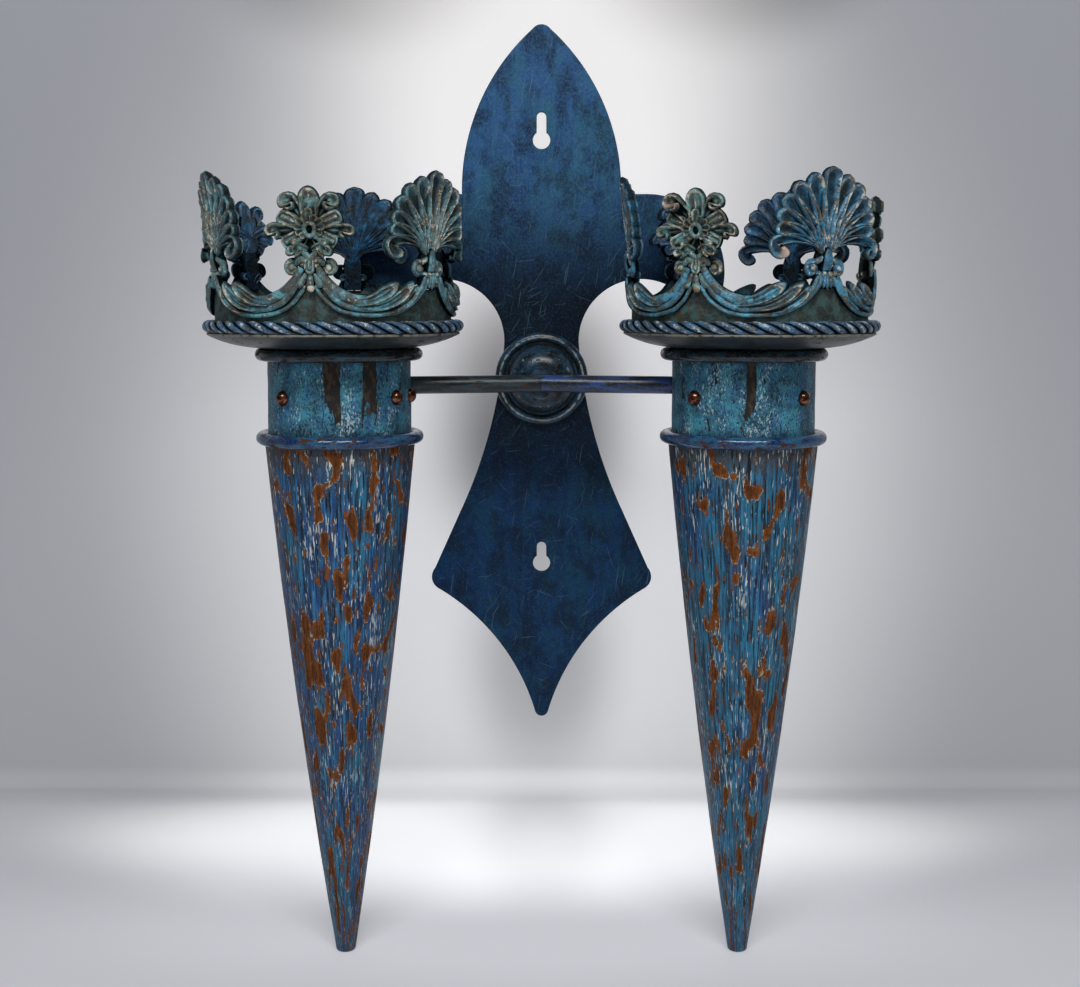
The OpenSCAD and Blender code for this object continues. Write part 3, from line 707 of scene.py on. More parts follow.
class Skin:
    """Closed skins that are collected in millimetres and made one mesh object in metres."""

    def __init__(self) -> None:
        """Starts with nothing in it."""
        self.points: list[Array] = []
        self.faces: list[list[int]] = []
        self.values: dict[str, list[Array]] = {"relief": [], "bare": [], "shade": []}
        self.count = 0

    def tube(self, rings: Array, relief: Array | float = 0.5, bare: Array | float = 0.0,
             shade: Array | float = 0.0, loop: bool = False) -> "Skin":
        """Adds rings of points as a skin that is closed round each ring.

        Args:
            rings: Points as rings by points of a ring by 3.
            relief: The relief value of each point, or one for all.
            bare: The bare value of each point, or one for all.
            shade: The shade value of each point, or one for all.
            loop: Whether the last ring joins the first. Otherwise both ends are closed to their middles.

        Returns:
            The collection itself.
        """
        n, m = rings.shape[:2]
        flat = rings.reshape(-1, 3)
        values = {"relief": relief, "bare": bare, "shade": shade}
        i = np.arange(n if loop else n - 1)[:, None]
        j = np.arange(m)[None]
        after = (i + 1) % n
        quads = np.stack([i * m + j, after * m + j, after * m + (j + 1) % m, i * m + (j + 1) % m], -1)
        faces = (quads.reshape(-1, 4) + self.count).tolist()
        if not loop:
            flat = np.vstack([flat, rings[0].mean(0), rings[-1].mean(0)])
            a = np.arange(m)
            first = np.stack([np.full(m, n * m), a, (a + 1) % m], -1)
            last = np.stack([np.full(m, n * m + 1), (n - 1) * m + (a + 1) % m, (n - 1) * m + a], -1)
            faces += (np.vstack([first, last]) + self.count).tolist()
        self.points.append(flat)
        self.faces += faces
        for key, value in values.items():
            own = np.broadcast_to(value, (n, m)).astype(float)
            ends = [] if loop else [own[0].mean(), own[-1].mean()]
            self.values[key].append(np.append(own.reshape(-1), ends))
        self.count += len(flat)
        return self

    def build(self, name: str, sharp: float = 40.0) -> bpy.types.Object:
        """Makes the mesh object, with its faces turned outwards and smooth but for sharp edges.

        Args:
            name: The object's name.
            sharp: Angle between faces, in degrees, above which an edge stays sharp.

        Returns:
            The object, at the origin.
        """
        mesh = bpy.data.meshes.new(name)
        mesh.from_pydata((np.vstack(self.points) * MM).tolist(), [], self.faces)
        for key, parts in self.values.items():
            layer = mesh.attributes.new(key, "FLOAT", "POINT")
            layer.data.foreach_set("value", np.concatenate(parts).astype(np.float32))
        face_outwards(mesh)
        mesh.shade_smooth()
        mesh.set_sharp_from_angle(angle=np.radians(sharp))
        return placed(name, mesh)


def lathed(profile: Array, segments: int, axis: tuple[float, float], wobble: Callable | None = None) -> Array:
    """Rings of a turned shape about an upright axis: each profile point runs round the axis.

    Args:
        profile: Radius and height of each profile point.
        segments: Points round the axis.
        axis: X and Y of the axis.
        wobble: Takes the points and gives what is added to their radius.

    Returns:
        Rings by segments by 3.
    """
    a = np.linspace(0, 2 * np.pi, segments, endpoint=False)
    way = np.stack([np.sin(a), -np.cos(a), np.zeros(segments)], -1)
    points = profile[:, None, :1] * way + profile[:, None, 1:] * np.array([0, 0, 1.0])
    points += np.array([*axis, 0.0])
    if wobble is not None:
        points += wobble(points)[..., None] * way
    return points


def rounded(points: list[tuple[float, float]], spacing: float) -> Array:
    """A profile with straight stretches filled in, so that no step is longer than the spacing.

    Args:
        points: Profile points.
        spacing: Longest step in millimetres.

    Returns:
        The filled profile.
    """
    p = np.asarray(points, float)
    steps = np.maximum(1, np.ceil(np.linalg.norm(np.diff(p, axis=0), axis=1) / spacing).astype(int))
    return np.vstack([*(a + (b - a) * np.linspace(0, 1, n, endpoint=False)[:, None]
                        for a, b, n in zip(p, p[1:], steps)), p[-1:]])


def arc(centre: tuple[float, float], radius: float, start: float, end: float, count: int) -> Array:
    """Points of an arc about a centre, from one angle to another in degrees."""
    a = np.radians(np.linspace(start, end, count + 1))
    return np.asarray(centre) + radius * np.stack([np.cos(a), np.sin(a)], -1)


def bow(start: Array, end: Array, bulge: float, count: int) -> Array:
    """Points of the arc from start to end that stands out by bulge to the left of the way."""
    p, q = np.asarray(start, float), np.asarray(end, float)
    half = np.linalg.norm(q - p) / 2
    radius = (half ** 2 + bulge ** 2) / (2 * abs(bulge))
    side = np.sign(bulge)
    along = (q - p) / (2 * half)
    left_of = np.array([-along[1], along[0]])
    centre = (p + q) / 2 + left_of * (bulge - side * radius)
    a = np.arcsin(min(1.0, half / radius)) * np.linspace(-1, 1, count + 1)[:, None]
    return centre + radius * (along * np.sin(a) + side * left_of * np.cos(a))


# The sconce's sub-assemblies

def dress(piece: bpy.types.Object, look: bpy.types.Material, slot: str, *nodes: str) -> None:
    """Gives a new piece its material and its body, and hides the nodes that it stands for."""
    piece.data.materials.clear()
    piece.data.materials.append(look)
    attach(piece, BODY)
    if nodes:
        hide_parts(*nodes)
    LOG.info("%s: %d faces for %s", piece.name, len(piece.data.polygons), ", ".join(nodes) or "itself")


def dress_node(node: str, look: bpy.types.Material) -> None:
    """Gives a node that stays in view its material."""
    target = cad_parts[node]
    if not target.material_slots:
        target.data.materials.append(look)
    for slot in target.material_slots:
        slot.material = look
    LOG.info("%s: kept, in %s", node, look.name)


@dataclass(frozen=True)
class WallPlate:
    """The spear-shaped plate with its side crescents, kite tail and keyholes.

    Attributes are its sizes in millimetres, from the boss axis.
    """

    t: float = 3.0
    edge_r: float = 0.7
    top: float = 191.5
    drop: float = 189.5
    spear_tip_r: float = 6.0
    tail_tip_r: float = 3.8
    head_half_w: float = 43.4
    head_bulge: float = 10.6
    crescent_top: float = 100.6
    crescent_r: float = 42.6
    crescent_x: float = 57.6
    waist_half_w: float = 20.4
    waist_z: float = 20.4
    arch_r: float = 34.0
    flank: tuple[float, float] = (45.1, -74.2)
    flank_hollow: float = 4.5
    kite: tuple[float, float] = (59.2, -105.7)
    kite_bulge: float = 2.6
    kite_step_in: float = 1.6
    kite_corner_h: float = 11.2
    tail_hollow: float = 8.4
    keyhole_r: float = 4.75
    slot_w: float = 5.2
    keyholes: tuple[tuple[float, float], ...] = ((129.6, 12.4), (-102.8, 9.2))

    def outline(self) -> Array:
        """Closed outline: the right half in arcs from tip to tail, then its mirror image."""
        arch_c = np.array([self.waist_half_w + self.arch_r, self.waist_z])
        crescent_c = np.array([self.crescent_x, self.crescent_top - self.crescent_r])
        way = crescent_c - arch_c
        gap = np.linalg.norm(way)
        along = (gap ** 2 + self.arch_r ** 2 - self.crescent_r ** 2) / (2 * gap)
        aside = np.sqrt(self.arch_r ** 2 - along ** 2)
        horn = arch_c + along * way / gap + aside * np.array([way[1], -way[0]]) / gap
        blunt = 3.0
        horn_out = np.degrees(np.arctan2(*(horn - crescent_c)[::-1])) + blunt
        horn_in = np.degrees(np.arctan2(*(horn - arch_c)[::-1])) + blunt
        spear = arc((0, self.top - self.spear_tip_r), self.spear_tip_r, 90, 38, 8)
        crescent = arc(crescent_c, self.crescent_r, 90, horn_out, 60)
        arch = arc(arch_c, self.arch_r, horn_in, 180, 60)
        tail = arc((0, self.tail_tip_r - self.drop), self.tail_tip_r, -18, -90, 8)
        kite_low = np.array([self.kite[0] - self.kite_step_in, self.kite[1] - self.kite_corner_h])
        half = np.vstack([
            spear, bow(spear[-1], (self.head_half_w, self.crescent_top), self.head_bulge, 50)[1:],
            crescent[1:], bow(crescent[-1], arch[0], 1.0, 5)[1:-1],
            arch, bow(arch[-1], self.flank, -self.flank_hollow, 30)[1:],
            bow(self.kite, kite_low, self.kite_bulge, 16),
            bow(kite_low, tail[0], -self.tail_hollow, 40)[1:-1], tail])
        return np.vstack([half, half[-2:0:-1] * [-1, 1]])

    def keyhole(self, z: float, rise: float) -> Array:
        """Closed outline of a keyhole: a round hole with an upright slot that ends round."""
        half_w = self.slot_w / 2
        a = np.degrees(np.arcsin(half_w / self.keyhole_r))
        bowl = arc((0, z), self.keyhole_r, 90 + a, 450 - a, 40)
        return np.vstack([bowl, arc((0, z + rise), half_w, 0, 180, 16)])

    def build(self) -> bpy.types.Object:
        """Plate with rounded edges: the filled outline with its holes, given a thickness and a round edge."""
        curve = bpy.data.curves.new("wall_plate_outline", "CURVE")
        curve.dimensions, curve.fill_mode = "2D", "BOTH"
        curve.extrude = (self.t / 2 - self.edge_r) * MM
        curve.bevel_depth, curve.offset, curve.bevel_resolution = self.edge_r * MM, -self.edge_r * MM, 3
        for loop in (self.outline(), *(self.keyhole(*k) for k in self.keyholes)):
            spline = curve.splines.new("POLY")
            spline.points.add(len(loop) - 1)
            rows = np.hstack([loop * MM, np.zeros((len(loop), 1)), np.ones((len(loop), 1))])
            spline.points.foreach_set("co", rows.ravel())
            spline.use_cyclic_u = True
        flat = placed("wall_plate_outline", curve)
        mesh = bpy.data.meshes.new_from_object(flat.evaluated_get(bpy.context.evaluated_depsgraph_get()))
        bpy.data.objects.remove(flat)
        co = np.empty(len(mesh.vertices) * 3)
        mesh.vertices.foreach_get("co", co)
        x, z, y = co.reshape(-1, 3).T
        mesh.vertices.foreach_set("co", np.stack([x, -self.t / 2 * MM - y, z], -1).ravel())
        face_outwards(mesh, weld=1e-6)
        mesh.set_sharp_from_angle(angle=np.radians(35))
        normals = np.empty(len(mesh.polygons) * 3)
        mesh.polygons.foreach_get("normal", normals)
        mesh.polygons.foreach_set("use_smooth", np.abs(normals[1::3]) < 0.999)
        return placed("wall_plate_painted", mesh)

    def make(self) -> None:
        """Builds the plate and dresses it."""
        paint = ScratchedPaintOnPlate("scratched_plate_paint", 4.0)
        dress(self.build(), paint.material(), "plate_paint", "wall_plate")


@dataclass(frozen=True)
class Boss:
    """The turned boss, the stem with its saddle, and both arms."""

    plate_t: float = 3.0
    ring_r: float = 25.4
    bead_r: float = 2.6
    channel: float = 1.6
    dome_r: float = 18.6
    dome_h: float = 16.0
    dome_flat_r: float = 9.6
    dome_bulge: float = 3.0
    shoulder_r: float = 15.2

    def profile(self) -> Array:
        """Bead ring, channel and dome as radius and distance from the wall."""
        bead = arc((self.ring_r - self.bead_r, self.bead_r), self.bead_r, 0, 180, 20)
        dome = bow((self.dome_r, self.channel + 1), (self.dome_flat_r, self.dome_h), -self.dome_bulge, 24)
        face_h = self.dome_h + 0.12
        return np.vstack([
            rounded([(1, 0), (self.ring_r, 0)], 4), bead,
            rounded([(bead[-1, 0], self.channel), (self.dome_r, self.channel)], 1),
            dome, rounded([(self.dome_flat_r - 0.4, face_h), (1, face_h)], 2)])

    def make(self) -> None:
        """Builds the boss and dresses it, the stem, the arms and the hidden fasteners."""
        profile = self.profile()
        rings = lathed(profile, 128, (0, 0), lambda p: 0.1 * ripple(p, 9, 5, 22))
        rings = np.stack([rings[..., 0], -self.plate_t - rings[..., 2], -rings[..., 1]], -1)
        r, h = profile.T
        crest = np.exp(-(((r - self.ring_r + self.bead_r) / 0.8) ** 2)) * (h > self.bead_r)
        shoulder = 0.6 * np.exp(-(((r - self.shoulder_r) / 1.4) ** 2)) * (h > 5)
        turned = Skin().tube(rings, bare=(crest + shoulder)[:, None]).build("plate_boss_turned", 50)
        paint = WornPaintOnTurnedMetal("worn_boss_paint", 2.0, ground="0a1218", cloud="16384f",
                                       speck="8c989c", rub="2c3130", rubs=0.6, clouds=0.5, roughness=0.28,
                                       size=(6.0, 4.0, 6.0))
        dress(turned, paint.material(), "boss_paint", "plate_boss")
        dress_node("arm_hub", paint.material())
        # One arm paint in two copies: darker on the left arm, painted shade, and lighter blue streaks on the
        # right arm, painted light, as the arms face different ways.
        dark = WornPaintOnTurnedMetal("arm_paint_in_painted_shade", 6.0, ground="0c1215", cloud="28383f",
                                      speck="5f6a70", roughness=0.34, rub="4a3626", rubs=0.62,
                                      size=(16.0, 4.0, 2.4))
        blue = WornPaintOnTurnedMetal("arm_paint_with_painted_light", 9.0, ground="0e1826", cloud="21427c",
                                      speck="8f9ca8", roughness=0.3, gloss=0.6, clouds=0.53,
                                      size=(20.0, 4.0, 2.4))
        dress_node("left_arm", dark.material())
        dress_node("right_arm", blue.material())
        steel = PlainSteel("dull_steel").material()
        for node in ("boss_screws", "hub_nut", "left_candle_pricket", "right_candle_pricket"):
            dress_node(node, steel)


@dataclass(frozen=True)
class Torch:
    """One cone torch: the turned wood, its collar, beads and nails.

    Attributes are the side's name, a seed, the levels of its wood's bare islands and teal clouds, the bare
    strips of its collar and its sizes in millimetres.
    """

    side: str
    seed: int
    islands: float
    teal: float
    strips: tuple[Size, ...]
    collar_r: float = 35.6
    collar_t: float = 1.2
    collar_z: tuple[float, float] = (-28.4, 19.4)
    bead_r: float = 3.1
    bead_ring_r: float = 38.5
    bead_z: tuple[float, float] = (16.2, -25.3)
    cone_top: tuple[float, float] = (37.2, -28.45)
    cone_tip: tuple[float, float] = (5.0, -290.0)
    tip_flat_r: float = 4.0
    cone_bulge: float = 1.9

    @property
    def axis(self) -> tuple[float, float]:
        """X and Y of the torch's axis."""
        return axis_of(f"{self.side}_lower_bead")

    def cone(self) -> bpy.types.Object:
        """Turned cone: an arc from tip to top, with the small unevenness of hand turning."""
        tip_z, (top_r, top_z) = self.cone_tip[1], self.cone_top
        flank = bow(self.cone_tip, self.cone_top, -self.cone_bulge, 110)
        tip = bow((self.tip_flat_r, tip_z - 1), self.cone_tip, -0.3, 4)[:-1]
        top = rounded([(top_r - 0.5, top_z + 0.05), (2, top_z + 0.05)], 6)
        rings = lathed(np.vstack([[(1, tip_z - 1)], tip, flank, top]), 144, self.axis,
                       lambda p: 0.16 * ripple(p * [1, 1, 0.25], 24, self.seed, 9))
        return Skin().tube(rings).build(f"{self.side}_torch_cone", 40)

    def collar(self) -> bpy.types.Object:
        """Sheet collar: a short tube with the small dents of a sheet that was bent by hand."""
        (low, high), r = self.collar_z, self.collar_r
        inner, soft = r - self.collar_t, r - 0.2
        profile = rounded([(inner, low), (soft, low), (r, low + 0.3),
                           (r, high - 0.3), (soft, high), (inner, high)], 1.4)
        rings = lathed(profile, 160, self.axis, lambda p: 0.22 * ripple(p, 14, self.seed + 1, 16) - 0.1)
        return Skin().tube(rings, loop=True).build(f"{self.side}_collar_sheet", 40)

    def bead(self, z: float, name: str) -> bpy.types.Object:
        """Bead ring: a rod bent to a circle, so slightly uneven."""
        profile = arc((self.bead_ring_r, z), self.bead_r, 0, 360, 28)[:-1]
        rings = lathed(profile, 160, self.axis,
                       lambda p: 0.12 * ripple(p, 10, self.seed + 40 + int(z), 24) - 0.1)
        return Skin().tube(rings, loop=True).build(name, 60)

    def make(self) -> None:
        """Builds and dresses the torch."""
        side = self.side
        wood = FlakingPaintOnTurnedWood(f"{side}_flaking_milk_paint", 10.0 * self.seed, axis=self.axis,
                                        islands=self.islands, teal=self.teal)
        dress(self.cone(), wood.material(), "torch_wood", f"{side}_torch_body")
        collar = GranularPaintOnSheet(f"{side}_granular_collar_paint", 3.0 * self.seed, strips=self.strips)
        dress(self.collar(), collar.material(), "collar_paint", f"{side}_collar_band")
        upper = WornPaintOnTurnedMetal(f"{side}_slate_bead_paint", 1.5 * self.seed, ground="070d12",
                                       cloud="1a3644", speck="6d7c80", rub="2b2823", rubs=0.57, clouds=0.53,
                                       roughness=0.2, size=(9.0, 9.0, 3.0), gloss=0.6)
        lower = replace(upper, name=f"{side}_blue_bead_paint", seed=2.5 * self.seed, ground="0e2a56",
                        cloud="24587c", speck="8fb0c4", rub="46301f", rubs=0.58, clouds=0.52, roughness=0.15)
        for name, z, look in (("upper", self.bead_z[0], upper), ("lower", self.bead_z[1], lower)):
            node = f"{side}_{name}_bead"
            dress(self.bead(z, f"{node}_rod"), look.material(), "bead_paint", node)
        dress_node(f"{side}_collar_nails", PolishedCopper(f"{side}_polished_copper", self.seed).material())


@dataclass
class Cast:
    """One closed skin of an ornament.

    Attributes:
        rings: Points across, up and out, as rings by points of a ring by 3.
        relief: Relief value of each point.
        bare: Bare value of each point.
        shade: Shade value of each point.
    """

    rings: Array
    relief: Array
    bare: Array | float = 0.0
    shade: Array | float = 0.0


@dataclass
class Ornament:
    """Leaves, strands, scrolls and balls of one cast ornament, in sheet coordinates.

    Sheet coordinates are millimetres across, up and out. The crown bends the sheet round its axis.

    Attributes:
        parts: The closed skins.
    """

    parts: list[Cast] = field(default_factory=list)

    def leaf(self, path: list[Size], width: float, height: float, section: Section,
             root: float = 0.25, tip: float = 0.3, back: float = 1.3, vein: float = 0.0, bare: float = 0.0,
             count: int = 26, twin: float = 0.0) -> None:
        """Adds a leaf: a strip along a path that widens from its root and ends in a round tip.

        Its half width grows with the square root of the way and closes as half an ellipse at the tip. Its
        front follows the section, where the distance from the middle also counts the way into the tip, so
        that a rim runs round the tip. Its back is flat, or has the same form as the front where it is a twin.

        Args:
            path: Points across, up and out that the middle runs through.
            width: Half width of the leaf at its widest.
            height: Height of the front over the path.
            section: Form of the front.
            root: Half width at the root as a share of the widest.
            tip: Share of the way that the tip takes.
            back: Thickness behind the path.
            vein: Height of a ridge along the middle as a share of the height.
            bare: Bare value of the leaf's tip.
            count: Rings along the leaf.
            twin: Height of the back's form as a share of the front's.
        """
        samples, points_across = 200, 17
        u = 1 - (1 - np.linspace(0, 1, count)) ** 1.25
        middle = smooth_path(path, samples)[(u * (samples - 1)).round().astype(int)]
        into = np.clip((u - 1 + tip) / tip, 0, 0.995)[:, None]
        close = np.sqrt(1 - into ** 2)
        grow = (root + (1 - root) * np.sqrt(np.clip(u / max(1 - tip, 0.3), 0, 1)))[:, None]
        way = np.gradient(middle[:, :2], axis=0)
        way /= np.maximum(np.linalg.norm(way, axis=1, keepdims=True), 1e-6)
        across = np.stack([-way[:, 1], way[:, 0], np.zeros(count)], -1)
        v = np.sin(np.linspace(-0.5, 0.5, points_across) * np.pi)[None]
        off = np.sqrt(np.clip(into ** 2 + v ** 2 * close ** 2, 0, 1))
        ridge = vein * np.exp(-((v / 0.18) ** 2)) * (1 - into)
        share = section.height(off) + ridge
        tone = np.clip(section.tone(off) + 1.3 * ridge, 0, 1)
        lift = share * height * np.minimum(1.0, 0.35 + 1.3 * grow)
        front = middle[:, None] + across[:, None] * (width * grow * close * v)[..., None]
        front[..., 2] += lift
        behind = slice(None, None, -2)
        low = middle[:, None] + across[:, None] * (width * grow * close * v[:, behind] * 0.86)[..., None]
        low[..., 2] -= back * close + twin * lift[:, behind]
        tone_low = tone[:, behind] if twin else np.full((count, low.shape[1]), 0.3)
        rings = np.concatenate([front, low], 1)
        worn = bare * np.clip((u[:, None] - 0.78) / 0.12, 0, 1) * np.ones((1, rings.shape[1]))
        self.parts.append(Cast(rings, np.concatenate([tone, tone_low], 1), worn))

    def strand(self, path: list[Size] | Array, start: float, end: float, count: int = 40,
               relief: float = 0.8) -> None:
        """Adds a round strand that tapers from one radius to another along a path.

        Args:
            path: Points across, up and out that the middle runs through.
            start: Radius at the first point.
            end: Radius at the last point.
            count: Rings along the strand.
            relief: Relief value of its front.
        """
        middle = smooth_path(path, count)
        way = np.gradient(middle, axis=0)
        way /= np.maximum(np.linalg.norm(way, axis=1, keepdims=True), 1e-6)
        side = np.cross(way, [0, 0, 1.0])
        side /= np.maximum(np.linalg.norm(side, axis=1, keepdims=True), 1e-6)
        up = np.cross(side, way)
        a = np.linspace(0, 2 * np.pi, 12, endpoint=False)
        radius = np.linspace(start, end, count)[:, None, None]
        ring = side[:, None] * np.cos(a)[None, :, None] + up[:, None] * np.sin(a)[None, :, None]
        rings = middle[:, None] + radius * ring
        heights = np.clip(0.3 + (relief - 0.3) * (ring[..., 2] + 0.4), 0, 1)
        self.parts.append(Cast(rings, heights))

    def scroll(self, centre: Size, radius: float, thick: float, turns: float, start: float,
               way: int) -> None:
        """Adds a volute: a strand on a spiral that tightens to a ball in its middle.

        The spiral's radius falls evenly with the angle, and it rises towards its middle.

        Args:
            centre: Middle of the volute.
            radius: Outer radius of the spiral.
            thick: Radius of the strand at its start.
            turns: Count of turns.
            start: Angle of the start, in degrees from the right.
            way: 1 winds to the left and -1 to the right.
        """
        t = np.linspace(0, 1, 14)
        a = np.radians(start) + way * 2 * np.pi * turns * t
        r = radius * (1 - 0.82 * t)
        path = np.stack([centre[0] + r * np.cos(a), centre[1] + r * np.sin(a), centre[2] + 0.8 * t], -1)
        self.strand(path, thick, thick * 0.7, 56, 0.68)
        self.ball((centre[0], centre[1], centre[2] + 0.9), thick * 1.15, 0.7)

    def ball(self, centre: Size, radius: float, relief: float) -> None:
        """Adds a ball whose front has the relief value."""
        a = np.linspace(0.12, np.pi - 0.12, 10)
        b = np.linspace(0, 2 * np.pi, 14, endpoint=False)
        ring = np.stack([np.sin(a)[:, None] * np.cos(b), np.sin(a)[:, None] * np.sin(b),
                         np.cos(a)[:, None] + 0 * b], -1)
        heights = np.clip(0.25 + (relief - 0.2) * (ring[..., 2] + 0.5), 0, 1)
        self.parts.append(Cast(np.asarray(centre) + radius * ring, heights))

    def mirrored(self) -> "Ornament":
        """The same ornament with left and right swapped."""
        return Ornament([replace(cast, rings=cast.rings * [-1, 1, 1]) for cast in self.parts])

    def finished(self, seed: int, amount: float, cell: float = 0.5, span: int = 3,
                 depth: float = 4.0) -> "Ornament":
        """The same ornament with the unevenness of a hand-chased casting, and with its shade values.

        Shade says how far a place lies under its neighbours: the highest and the lowest surface are kept on a
        grid, widened and blurred, and a point's shade is its distance below the one or above the other,
        whichever is less. The patina paints these places dark, as painted shade.

        Args:
            seed: Seed of the unevenness.
            amount: Size of the unevenness in millimetres.
            cell: Size of a grid cell in millimetres.
            span: Cells that the blur reaches.
            depth: Distance in millimetres at which the shade is full.

        Returns:
            The finished ornament.
        """
        margin, empty = 4, -99.0
        flat = np.concatenate([cast.rings.reshape(-1, 3) for cast in self.parts])
        corner = flat[:, :2].min(0) - margin
        size = np.ceil((flat[:, :2].max(0) + margin - corner) / cell).astype(int) + 1
        spots = tuple(np.floor((flat[:, :2] - corner) / cell).astype(int).T)
        fields = []
        for sign in (1, -1):
            top = np.full(size, empty)
            np.maximum.at(top, spots, sign * flat[:, 2])
            top = np.maximum.reduce([np.roll(top, (i, j), (0, 1)) for i in (-1, 0, 1) for j in (-1, 0, 1)])
            held = (top > empty).astype(float)
            steps = [(i, j) for i in range(-span, span + 1) for j in range(-span, span + 1)]
            total = sum(np.roll(top * held, step, (0, 1)) for step in steps)
            fields.append(total / np.maximum(sum(np.roll(held, step, (0, 1)) for step in steps), 1))
        done = []
        for cast in self.parts:
            place = tuple(np.floor((cast.rings[..., :2] - corner) / cell).astype(int).reshape(-1, 2).T)
            out = cast.rings[..., 2].reshape(-1)
            under = np.minimum(fields[0][place] - out, fields[1][place] + out)
            shade = np.clip(under / depth, 0, 1).reshape(cast.rings.shape[:2])
            bumps = np.stack([ripple(cast.rings, 7, seed + k, 12) for k in range(3)], -1)
            done.append(replace(cast, rings=cast.rings + amount * bumps, shade=shade))
        return Ornament(done)


